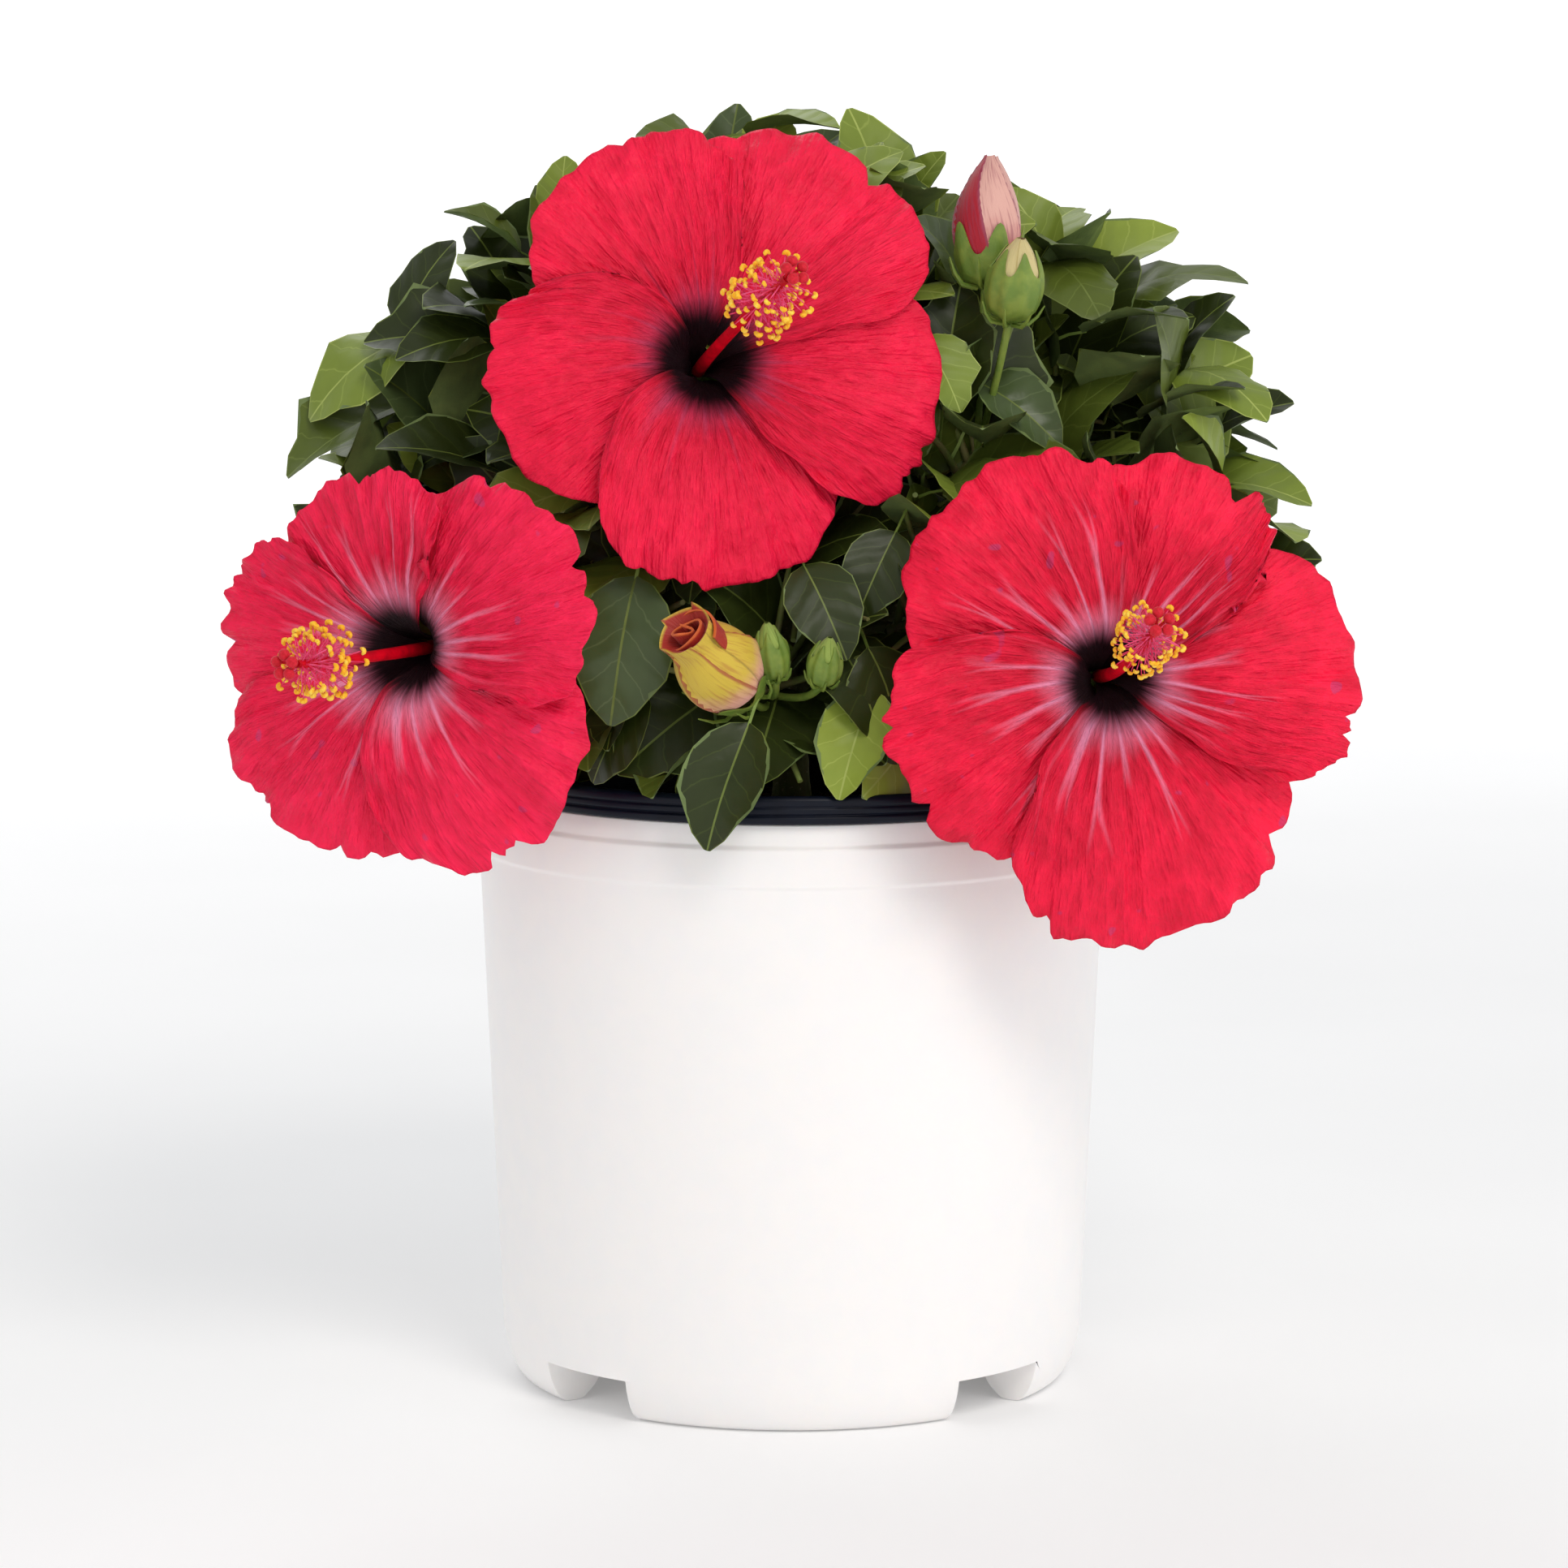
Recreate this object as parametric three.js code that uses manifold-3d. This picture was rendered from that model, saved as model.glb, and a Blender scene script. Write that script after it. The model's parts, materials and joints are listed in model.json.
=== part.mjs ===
// A potted hibiscus shrub in flower: a white nursery pot with a dark liner and rim, potting mix,
// a short trunk with its boughs, masses of leafy twigs, and three large open blooms.
// Millimetres, +Z up. The origin is the centre of the pot's underside, and -Y faces the viewer.
// An azimuth of 0 degrees points to -Y and 90 degrees points to +X.
import * as THREE from 'three';
import { mergeVertices } from 'three/addons/utils/BufferGeometryUtils.js';
import Module from 'manifold-3d';

const wasm = await Module();
wasm.setup();

// Sizes of the pot
const POT = {
  sides: 28,
  wall: 2.2,
  floor: 2.4,
  corner: 6, // the floor's edge inside is this far in from the wall's foot
  footRadius: 98, // outer edge of the flat ring that the feet stand on
  footInner: 92,
  beadInner: 82, // where the foot's bead rises to the floor
  floorHeight: 14,
  notchHeight: 15.5,
  notchAngle: 22, // each drain notch between two feet, in degrees
  padRadius: 28, // round pad in the middle of the underside
  baseRadius: 107.8,
  baseHeight: 24,
  bodyTopRadius: 115.3,
  collarRadius: 116,
  collarHeight: 198.6,
  creaseHeight: 213,
  shellTop: 220.4,
};
const RIM = { radius: 117.8, bottom: 220.8, top: 231, inner: 112.4, throat: 111.2, neck: 225 };
const LINER = { wall: 2, floor: 1.8 };
const SOIL = { top: 205, crown: 2 };
const CLEARANCE = 0.35; // between pieces that touch
const FINEST = 0.04; // detail smaller than this is merged away

// Sizes of the limbs and the crown
const TRUNK = { height: 58, flare: 9.5, radius: 7, tipRadius: 5.4, lean: new THREE.Vector3(-3, 4, 0) };
const HEART = new THREE.Vector3(0, 0, 268); // the point that the crown spreads from
const LIMB = {
  sides: 5,
  steps: 3,
  entry: 0.42, // share of a mass's reach where its bough ends and its stem begins
  middle: 0.68, // share of its reach where its middle lies
  follow: 0.22, // how far a bough runs on along its parent, as a share of its span
  bend: 0.28, // and how far towards its goal before it bends
  main: 4.4, // radius of a bough that leaves the trunk
  side: 3.5, // of one that leaves another bough
  tip: 2.7,
  stemTip: 2.2,
};
const TWIG = { radius: 1.5, tipRadius: 1.4, length: 52, lean: 56, count: 5, lead: 52 };
const LEAF = {
  length: 70, // with its stalk
  width: 37,
  widest: 0.5,
  fold: 1.5,
  rootRadius: 0.6,
  hang: 0.9, // how much the leaves at the sides of the crown hang
  turns: [0, 60, -60, 120, -120, 180], // tried in this order round the twig
  sizes: [1, 0.72], // and then again smaller
};
const GOLDEN = 137.5; // turn from one leaf to the next, in degrees
const CELL_GAP = 0.6; // from a leaf to the edge of its mass's own space
const LOWEST_LEAF = 214;

// Each mass of foliage: azimuth and elevation from the heart, how far it reaches, what its bough
// grows from, how far along that, and the seed of its twigs
const MASSES = [
  { name: 'top', azimuth: -20, elevation: 87, reach: 206, parent: 'trunk', at: 1, seed: 3 },
  { name: 'left_low', azimuth: -94, elevation: 20, reach: 198, parent: 'trunk', at: 0.62, seed: 11 },
  { name: 'right_low', azimuth: 95, elevation: 21, reach: 204, parent: 'trunk', at: 0.72, seed: 12 },
  { name: 'front_low', azimuth: -6, elevation: -3, reach: 142, parent: 'trunk', at: 0.5, seed: 5 },
  { name: 'back_left', azimuth: -142, elevation: 17, reach: 190, parent: 'trunk', at: 0.56, seed: 21 },
  { name: 'back_right', azimuth: 143, elevation: 16, reach: 190, parent: 'trunk', at: 0.82, seed: 22 },
  { name: 'left_high', azimuth: -98, elevation: 49, reach: 202, parent: 'top', at: 0.3, seed: 31 },
  { name: 'right_high', azimuth: 96, elevation: 45, reach: 214, parent: 'right_low', at: 0.4, seed: 32 },
  { name: 'front_left', azimuth: -42, elevation: 14, reach: 150, parent: 'left_low', at: 0.3, seed: 41 },
  { name: 'front_right', azimuth: 38, elevation: 13, reach: 142, parent: 'right_low', at: 0.3, seed: 42 },
  { name: 'front_mid', azimuth: 4, elevation: 33, reach: 122, parent: 'top', at: 0.14, seed: 43 },
  { name: 'shoulder_left', azimuth: -62, elevation: 38, reach: 172, parent: 'left_low', at: 0.5, seed: 51 },
  { name: 'shoulder_right', azimuth: 50, elevation: 42, reach: 172, parent: 'top', at: 0.22, seed: 52 },
  { name: 'top_left', azimuth: -84, elevation: 69, reach: 201, parent: 'top', at: 0.62, seed: 61 },
  { name: 'top_right', azimuth: 92, elevation: 68, reach: 196, parent: 'top', at: 0.76, seed: 62 },
  {
    name: 'back_high_left', azimuth: -150, elevation: 50, reach: 190, parent: 'back_left', at: 0.45,
    seed: 71,
  },
  {
    name: 'back_high_right', azimuth: 150, elevation: 51, reach: 190, parent: 'back_right', at: 0.45,
    seed: 72,
  },
  { name: 'back_low', azimuth: 180, elevation: 12, reach: 178, parent: 'back_left', at: 0.35, seed: 73 },
];

// Sizes that the blooms share
const BLOOM = {
  tubeDepth: 30, // from the mouth of the throat back to the calyx
  tubeRadius: 4.5,
  neck: -20, // height where the calyx ends, and the tube's radius there
  neckRadius: 8,
  mouth: -13.5, // height where the tube has opened into the petals
  sides: 8,
  throat: 7, // radius where the petals leave the tube
  throatFall: 7, // how fast the funnel opens
  crown: 8,
  backCurl: 12,
  corner: 0.2,
  thickness: 1.2,
  ring: 34, // inside this radius all the petals have the same rows
  layer: 2.6, // from one petal to the one under it
  halfAngle: 45, // half of what each petal spans, in degrees
  span: 84, // usual length of a petal
  ruffle: 4,
  rows: 4,
  columns: 5,
};
const COLUMN = {
  radius: 2.1,
  tipRadius: 1.3,
  root: -27.4, // height where it stands in the tube
  bow: 22, // height that it rises to before it leans
  filament: 10.5,
  anther: 1.9,
  stamens: 7,
  thread: 0.6,
  styles: 5,
  style: 7,
  pad: 2.3,
};
const CALYX = {
  radius: 7.2,
  knot: 27.4, // from the bottom of the tube back to where the stalk meets its bough
  drop: 12, // and how far that lies below it
  lobes: 5,
  lobe: 11,
  stalk: 2.1,
};

// Each open bloom: the middle of its throat, where it faces, its petals' directions as the viewer
// sees them (anticlockwise from the right) and their lengths, the tip of its column, and the bough
// that carries it, with how far along its own parent that bough starts
const BLOOMS = [
  {
    name: 'bloom_top', throat: [-30, -95, 382], azimuth: 7, elevation: 13,
    petals: [[108, 82], [188, 77], [268, 81], [340, 84], [44, 92]],
    stigma: [-2, -152, 412], parent: 'top', at: 0.12, seed: 1,
  },
  {
    name: 'bloom_left', throat: [-137, -107, 280], azimuth: -23, elevation: 1,
    petals: [[100, 65], [168, 70], [232, 78], [308, 82], [24, 78]],
    stigma: [-168, -159, 282], parent: 'left_low', at: 0.7, seed: 2,
  },
  {
    name: 'bloom_right', throat: [110, -127, 274], azimuth: 6, elevation: 6,
    petals: [[125, 84], [203, 82], [278, 94], [352, 89], [52, 81]],
    stigma: [121, -182, 296], parent: 'right_low', at: 0.62, seed: 4,
  },
];

// Each bud: the mass that it is fused to, its base, its tip and its greatest radius
const BUDS = [
  { mass: 'front_low', base: [-17, -110, 266], tip: [-37, -135, 291], radius: 15 },
  { mass: 'front_low', base: [-6, -113, 272], tip: [-9, -120, 292], radius: 6 },
  { mass: 'front_low', base: [10, -114, 270], tip: [13, -121, 287], radius: 6 },
  { mass: 'shoulder_right', base: [68, -66, 406], tip: [70, -62, 451], radius: 12 },
  { mass: 'shoulder_right', base: [76, -77, 394], tip: [80, -84, 423], radius: 9.5 },
];

// Leading leaves that shape the outline and the middle of the crown: the mass, where on its stem the
// leaf's twig starts, the base and tip of the blade, and how far it faces the viewer
const LEADERS = [
  { mass: 'top', from: 0.8, base: [-21, 0, 457], tip: [12, -14, 463], face: 0 },
  { mass: 'top', from: 0.9, base: [-21, -4, 446], tip: [-46, -20, 465], face: 0.6 },
  { mass: 'top', from: 0.95, base: [40, 0, 426], tip: [51, -10, 449], face: 1 },
  { mass: 'top_left', from: 0.8, base: [-83, -10, 419], tip: [-84, -14, 446], face: 1 },
  { mass: 'top_left', from: 0.95, base: [-95, -8, 413], tip: [-120, -14, 431], face: 0.5 },
  { mass: 'left_high', from: 0.7, base: [-144, 0, 381], tip: [-130, -6, 416], face: 1.4 },
  { mass: 'left_high', from: 0.9, base: [-127, -10, 387], tip: [-174, -22, 372], face: 0.6 },
  { mass: 'left_low', from: 0.8, base: [-134, -12, 364], tip: [-178, -24, 341], face: 0.7 },
  { mass: 'shoulder_left', from: 0.8, base: [-95, -45, 335], tip: [-140, -60, 350], face: 0.5 },
  { mass: 'shoulder_left', from: 0.9, base: [-65, -70, 335], tip: [-110, -84, 328], face: 0.8 },
  { mass: 'right_high', from: 0.8, base: [116, 0, 397], tip: [155, -10, 415], face: 0.6 },
  { mass: 'right_high', from: 0.6, base: [94, -10, 406], tip: [85, -18, 436], face: 1.2 },
  { mass: 'right_low', from: 0.8, base: [135, 0, 353], tip: [129, -8, 394], face: 1.5 },
  { mass: 'right_low', from: 0.9, base: [141, 0, 343], tip: [176, -12, 361], face: 0.7 },
  { mass: 'right_low', from: 0.95, base: [142, -10, 332], tip: [183, -22, 329], face: 0.4 },
  { mass: 'shoulder_right', from: 0.9, base: [62, -60, 374], tip: [92, -72, 355], face: 1 },
  { mass: 'shoulder_right', from: 0.8, base: [43, -70, 391], tip: [58, -84, 368], face: 1.2 },
  { mass: 'front_left', from: 0.8, base: [-53, -100, 313], tip: [-64, -118, 265], face: 1.5 },
  { mass: 'front_low', from: 0.7, base: [2, -98, 314], tip: [17, -116, 285], face: 1.5 },
  { mass: 'front_low', from: 0.95, base: [-13, -120, 263], tip: [-28, -133, 221], face: 1.5 },
  { mass: 'front_right', from: 0.9, base: [29, -104, 272], tip: [18, -122, 237], face: 1.5 },
  { mass: 'front_right', from: 0.8, base: [38, -92, 325], tip: [24, -106, 297], face: 1.4 },
];

const COLOURS = {
  white: { color: 0xf3f1ee, roughness: 0.42, metalness: 0 },
  navy: { color: 0x12161f, roughness: 0.35, metalness: 0 },
  soil: { color: 0x2b211a, roughness: 0.95, metalness: 0 },
  bark: { color: 0x6f6a4a, roughness: 0.8, metalness: 0 },
  leaf: { color: 0x3c5a20, roughness: 0.45, metalness: 0 },
  petal: { color: 0xd9143c, roughness: 0.55, metalness: 0 },
  stamen: { color: 0xd8541f, roughness: 0.6, metalness: 0 },
  calyx: { color: 0x5b7f33, roughness: 0.55, metalness: 0 },
};

const group = new THREE.Group();
const limbs = new Map(); // each limb's name to its curve
const widened = []; // each limb with the clearance added, to cut and to test against
const keepOut = []; // the pot's mouth and the blooms, widened, where no leaf may be
const UP = new THREE.Vector3(0, 0, 1);
const vector = (p) => new THREE.Vector3(...p);
const mix = THREE.MathUtils.lerp;
const radians = THREE.MathUtils.degToRad;

// A steady random number from 0 to 1 for a seed and a count
function chance(seed, count) {
  let h = (Math.imul(seed + 1, 374761393) + Math.imul(count + 1, 668265263)) >>> 0;
  h = Math.imul(h ^ (h >>> 13), 1274126177) >>> 0;
  h = Math.imul(h ^ (h >>> 15), 2246822519) >>> 0;
  return ((h ^ (h >>> 16)) >>> 0) / 4294967296;
}

function heading(azimuth, elevation) {
  const a = radians(azimuth);
  const e = radians(elevation);
  return new THREE.Vector3(Math.sin(a) * Math.cos(e), -Math.cos(a) * Math.cos(e), Math.sin(e));
}

// Two directions square to an axis; for one that faces the viewer they are right and up
function squareTo(axis) {
  const reference = Math.abs(axis.z) > 0.95 ? new THREE.Vector3(0, 1, 0) : UP;
  const side = new THREE.Vector3().crossVectors(reference, axis).normalize();
  return [side, new THREE.Vector3().crossVectors(axis, side).normalize()];
}

// Solids

// Turns a closed geometry into a solid with its faces outwards
function solidOf(geometry) {
  const bare = new THREE.BufferGeometry().setAttribute('position', geometry.getAttribute('position'));
  if (geometry.index) bare.setIndex(geometry.index);
  const merged = mergeVertices(bare, 1e-4);
  const p = merged.attributes.position;
  const faces = [];
  const [a, b, c] = [new THREE.Vector3(), new THREE.Vector3(), new THREE.Vector3()];
  let volume = 0;
  for (let i = 0; i < merged.index.count; i += 3) {
    const face = [0, 1, 2].map((k) => merged.index.getX(i + k));
    if (new Set(face).size < 3) continue;
    faces.push(face);
    volume += a.fromBufferAttribute(p, face[0])
      .dot(b.fromBufferAttribute(p, face[1]).cross(c.fromBufferAttribute(p, face[2])));
  }
  if (volume < 0) faces.forEach((face) => face.reverse());
  const triVerts = new Uint32Array(faces.flat());
  return new wasm.Manifold(new wasm.Mesh({ numProp: 3, vertProperties: p.array, triVerts }));
}

// The largest body of a solid, without loose scraps or the walls of sealed hollows
function largest(solid) {
  const bodies = solid.decompose();
  return bodies.reduce((best, body) => (body.volume() > best.volume() ? body : best), bodies[0]);
}

function joined(solids) {
  return solids.reduce((whole, solid) => whole.add(solid));
}

function addNode(name, solid, material) {
  const mesh = largest(largest(solid).simplify(FINEST)).getMesh();
  const positions = new Float32Array(mesh.numVert * 3);
  for (let i = 0; i < mesh.numVert; i++) {
    positions.set(mesh.vertProperties.subarray(i * mesh.numProp, i * mesh.numProp + 3), i * 3);
  }
  const geometry = new THREE.BufferGeometry()
    .setAttribute('position', new THREE.BufferAttribute(positions, 3))
    .setIndex(new THREE.BufferAttribute(mesh.triVerts, 1));
  geometry.computeVertexNormals();
  const node = new THREE.Mesh(geometry, new THREE.MeshStandardMaterial(material));
  node.name = name;
  group.add(node);
}

function turned(profile, sides) {
  const lathe = new THREE.LatheGeometry(profile.map(([r, z]) => new THREE.Vector2(r, z)), sides);
  return solidOf(lathe.rotateX(Math.PI / 2));
}

// A many-sided limb along a curve, from rings of points at given shares of its length and radii
function limbSolid(curve, rings, sides) {
  const steps = rings.length - 1;
  const points = [];
  const faces = [];
  let [side, across] = squareTo(curve.getTangent(0));
  for (const [t, radius] of rings) {
    const tangent = curve.getTangent(t);
    side = side.clone().addScaledVector(tangent, -side.dot(tangent)).normalize();
    across = new THREE.Vector3().crossVectors(tangent, side);
    for (let k = 0; k < sides; k++) {
      const angle = (2 * Math.PI * k) / sides;
      points.push(curve.getPoint(t)
        .addScaledVector(side, radius * Math.cos(angle)).addScaledVector(across, radius * Math.sin(angle)));
    }
  }
  for (let i = 0; i < steps; i++) {
    for (let k = 0; k < sides; k++) {
      const [a, b] = [i * sides + k, i * sides + ((k + 1) % sides)];
      faces.push([a, b, b + sides], [a, b + sides, a + sides]);
    }
  }
  for (let k = 1; k < sides - 1; k++) {
    faces.push([0, k + 1, k]);
    const last = steps * sides;
    faces.push([last, last + k, last + k + 1]);
  }
  return solidOf(geometryOf(points, faces));
}

// Evenly spaced rings, with a radius for each share of the length
function evenRings(steps, radiusAt) {
  return Array.from({ length: steps + 1 }, (_, i) => [i / steps, radiusAt(i / steps)]);
}

function geometryOf(points, faces) {
  const positions = new Float32Array(points.flatMap((p) => p.toArray()));
  return new THREE.BufferGeometry()
    .setAttribute('position', new THREE.BufferAttribute(positions, 3))
    .setIndex(faces.flat());
}

function straight(from, to) {
  return new THREE.LineCurve3(from, to);
}

// A thin closed sheet with a given thickness, from a function of two shares from 0 to 1, moved off
// that surface by another
function sheetSolid(pointAt, liftAt, rows, columns, thickness) {
  const points = [];
  const faces = [];
  const step = 1e-3;
  for (const face of [0.5, -0.5]) {
    for (let i = 0; i <= rows; i++) {
      for (let k = 0; k <= columns; k++) {
        const [u, v] = [i / rows, k / columns];
        const along = pointAt(Math.min(u + step, 1), v).sub(pointAt(Math.max(u - step, 0), v));
        const across = pointAt(u, Math.min(v + step, 1)).sub(pointAt(u, Math.max(v - step, 0)));
        const normal = along.cross(across).normalize();
        points.push(pointAt(u, v).addScaledVector(normal, face * thickness + liftAt(v)));
      }
    }
  }
  const width = columns + 1;
  const sheet = (rows + 1) * width;
  const quad = (a, b, c, d) => faces.push([a, b, c], [a, c, d]);
  for (let i = 0; i < rows; i++) {
    for (let k = 0; k < columns; k++) {
      const a = i * width + k;
      quad(a, a + width, a + width + 1, a + 1);
      quad(a + sheet, a + sheet + 1, a + sheet + width + 1, a + sheet + width);
    }
  }
  const edge = [];
  for (let k = 0; k < columns; k++) edge.push(k);
  for (let i = 0; i < rows; i++) edge.push(i * width + columns);
  for (let k = columns; k > 0; k--) edge.push(rows * width + k);
  for (let i = rows; i > 0; i--) edge.push(i * width);
  edge.forEach((a, n) => {
    const b = edge[(n + 1) % edge.length];
    quad(a, b, b + sheet, a + sheet);
  });
  return solidOf(geometryOf(points, faces));
}

// Pot, liner and potting mix

function makePot() {
  const { beadInner, footInner, footRadius, padRadius, floorHeight, baseRadius, baseHeight } = POT;
  const floorTop = floorHeight + POT.floor;
  const mouth = POT.bodyTopRadius - POT.wall;
  const corner = baseRadius - POT.corner;
  const shell = turned([
    [0, 0], [padRadius, 0], [padRadius + 3, 4], [padRadius + 5, floorHeight],
    [beadInner, floorHeight], [beadInner + 4, 5], [footInner, 0], [footRadius, 0],
    [footRadius + 4, 2.4], [footRadius + 7.6, 8.5], [baseRadius - 0.4, 16],
    [baseRadius, baseHeight], [POT.bodyTopRadius, POT.collarHeight - 1.2],
    [POT.collarRadius, POT.collarHeight], [POT.collarRadius, POT.creaseHeight - 1.4],
    [POT.collarRadius - 1.2, POT.creaseHeight], [POT.collarRadius - 1.5, POT.shellTop],
    [mouth, POT.shellTop], [baseRadius - POT.wall, baseHeight], [corner, floorTop], [0, floorTop],
  ], POT.sides);
  const half = radians(POT.notchAngle / 2);
  const corners = [
    [beadInner - 12, -half], [baseRadius + 22, -half], [baseRadius + 22, half], [beadInner - 12, half],
  ];
  const wedge = new THREE.Shape(
    corners.map(([r, angle]) => new THREE.Vector2(r * Math.cos(angle), r * Math.sin(angle))),
  );
  const below = 10;
  let pot = shell;
  for (let n = 0; n < 4; n++) {
    const notch = new THREE.ExtrudeGeometry(wedge, { depth: POT.notchHeight + below, bevelEnabled: false });
    notch.translate(0, 0, -below).rotateZ(radians(45 + 90 * n));
    pot = pot.subtract(solidOf(notch));
  }
  addNode('pot_shell', pot, COLOURS.white);

  // The liner lies inside the shell, and its rim rolls out over the shell's edge
  const outer = mouth - CLEARANCE;
  const bottom = floorTop + CLEARANCE;
  const low = corner - 2 * CLEARANCE;
  const side = baseRadius - POT.wall - 1.5 * CLEARANCE;
  const inner = { radius: side - LINER.wall, height: baseHeight + 2 };
  addNode('pot_liner', turned([
    [0, bottom], [low, bottom], [side, baseHeight + 1], [outer, POT.shellTop],
    [outer, RIM.bottom], [RIM.radius - 0.5, RIM.bottom], [RIM.radius, RIM.bottom + 3],
    [RIM.radius - 0.9, RIM.bottom + 3.9], [RIM.radius, RIM.bottom + 4.9], [RIM.radius, RIM.top - 1.4],
    [RIM.radius - 1.4, RIM.top], [RIM.inner, RIM.top - 0.6], [RIM.throat, RIM.neck],
    [inner.radius, inner.height], [low - LINER.wall, bottom + LINER.floor], [0, bottom + LINER.floor],
  ], POT.sides), COLOURS.navy);

  // The mix fills the liner to below its rim
  const radiusAt = (z) => {
    const share = (z - inner.height) / (RIM.neck - inner.height);
    return mix(inner.radius, RIM.throat, share) - CLEARANCE;
  };
  const base = bottom + LINER.floor + CLEARANCE;
  addNode('potting_mix', turned([
    [0, base], [low - LINER.wall - 2 * CLEARANCE, base], [radiusAt(inner.height) - 0.2, inner.height + 0.5],
    [radiusAt(SOIL.top - SOIL.crown), SOIL.top - SOIL.crown], [TRUNK.flare + 6, SOIL.top], [0, SOIL.top],
  ], POT.sides), COLOURS.soil);
  const { radius, top } = RIM;
  keepOut.push(turned([
    [0, SOIL.top], [radius + 1.2, SOIL.top], [radius + 1.2, top + 1.5], [0, top + 1.5],
  ], POT.sides));
}

// Trunk and boughs

function addLimb(name, curve, from, to, flare = 0) {
  const radiusAt = (t) => mix(from, to, t) + flare * Math.exp(-t * 9);
  const rings = (extra) => evenRings(LIMB.steps, (t) => radiusAt(t) + extra);
  let solid = limbSolid(curve, rings(0), LIMB.sides);
  for (const other of widened) solid = solid.subtract(other);
  widened.push(limbSolid(curve, rings(CLEARANCE), LIMB.sides));
  limbs.set(name, curve);
  addNode(name === 'trunk' ? 'trunk' : 'bough_' + name, solid, COLOURS.bark);
}

// A bough leaves its parent between the parent's own direction and its goal's
function boughCurve(parent, at, goal) {
  const curve = limbs.get(parent);
  const start = curve.getPoint(at);
  if (at === 1) start.addScaledVector(curve.getTangent(1), CLEARANCE);
  const span = goal.clone().sub(start);
  const bend = start.clone()
    .addScaledVector(curve.getTangent(at), LIMB.follow * span.length())
    .addScaledVector(span, LIMB.bend);
  return new THREE.QuadraticBezierCurve3(start, bend, goal);
}

// A point on the line from the heart through the middle of a mass
function fromHeart(mass, distance) {
  return HEART.clone().addScaledVector(heading(mass.azimuth, mass.elevation), distance);
}

const massEntry = (mass) => fromHeart(mass, LIMB.entry * mass.reach);
const massCentre = (mass) => fromHeart(mass, LIMB.middle * mass.reach);

function makeLimbs() {
  const foot = new THREE.Vector3(0, 0, SOIL.top + CLEARANCE);
  const head = foot.clone().addScaledVector(UP, TRUNK.height).add(TRUNK.lean);
  const sway = foot.clone().addScaledVector(UP, TRUNK.height * 0.55);
  const trunk = new THREE.QuadraticBezierCurve3(foot, sway, head);
  addLimb('trunk', trunk, TRUNK.radius, TRUNK.tipRadius, TRUNK.flare - TRUNK.radius);
  for (const mass of MASSES) {
    const from = mass.parent === 'trunk' ? LIMB.main : LIMB.side;
    addLimb(mass.name, boughCurve(mass.parent, mass.at, massEntry(mass)), from, LIMB.tip);
  }
  for (const bloom of BLOOMS) {
    addLimb(bloom.name, boughCurve(bloom.parent, bloom.at, bloomKnot(bloom)), LIMB.side, LIMB.tip);
  }
}

// Blooms

function bloomFrame(bloom) {
  const facing = heading(bloom.azimuth, bloom.elevation);
  const [right, up] = squareTo(facing);
  const throat = vector(bloom.throat);
  const place = (x, y, z) => throat.clone()
    .addScaledVector(right, x).addScaledVector(up, y).addScaledVector(facing, z);
  return { facing, right, up, place };
}

// Where a bloom's bough ends and its stalk begins, behind and below the calyx
function bloomKnot(bloom) {
  const { place } = bloomFrame(bloom);
  return place(0, 0, -BLOOM.tubeDepth - CALYX.knot).addScaledVector(UP, -CALYX.drop).lerp(HEART, 0.12);
}

// How far forward of the throat's mouth the corolla lies at a radius and an angle. All the petals
// follow it, so that where two overlap they run side by side.
function corollaHeight(bloom, radius, angle) {
  const share = radius / BLOOM.span;
  return -BLOOM.tubeDepth * Math.exp(-(radius - 3) / BLOOM.throatFall)
    + BLOOM.crown * (1 - Math.exp(-radius / 30)) - BLOOM.backCurl * share ** 3
    + BLOOM.ruffle * share ** 3 * Math.sin(3 * angle + bloom.seed);
}

// A point of one petal: along from 0 at the throat to 1 at the edge, across from -1 to 1.
// Its clockwise side lies over the petal before it, and its other side under the next.
function petalPoint(bloom, index, along, across) {
  const [direction, length] = bloom.petals[index];
  const edge = length * (1 - BLOOM.corner * Math.abs(across) ** 2.6);
  const radius = along < 0.5
    ? mix(BLOOM.throat, BLOOM.ring, 2 * along)
    : mix(BLOOM.ring, edge, 2 * along - 1);
  const turn = across * BLOOM.halfAngle;
  const angle = radians(direction + turn);
  return [radius * Math.cos(angle), radius * Math.sin(angle), corollaHeight(bloom, radius, angle)];
}

function corollaSolid(bloom, extra) {
  const { place } = bloomFrame(bloom);
  const petals = bloom.petals.map((_, index) => sheetSolid(
    (u, v) => place(...petalPoint(bloom, index, u, 2 * v - 1)),
    (v) => ((1 - 2 * v) * BLOOM.halfAngle * BLOOM.layer) / 72,
    BLOOM.rows, BLOOM.columns, BLOOM.thickness + extra,
  ));
  const half = extra / 2;
  const { tubeDepth, tubeRadius, neckRadius, neck, throat, mouth } = BLOOM;
  const tube = bloomTurned(bloom, [
    [0, -tubeDepth - half], [tubeRadius + half, -tubeDepth - half], [neckRadius + half, neck],
    [throat + 4 + half, mouth], [throat - 2, mouth], [COLUMN.radius + 0.5, -tubeDepth + 2.2],
    [0, -tubeDepth + 2.2],
  ], BLOOM.sides);
  return joined([tube, ...petals]);
}

// A piece turned round a bloom's own axis
function bloomTurned(bloom, profile, sides) {
  const { facing, right, up } = bloomFrame(bloom);
  const lathe = new THREE.LatheGeometry(profile.map(([r, z]) => new THREE.Vector2(r, z)), sides);
  lathe.rotateX(Math.PI / 2);
  const matrix = new THREE.Matrix4().makeBasis(right, up, facing).setPosition(...bloom.throat);
  return solidOf(lathe.applyMatrix4(matrix));
}

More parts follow.
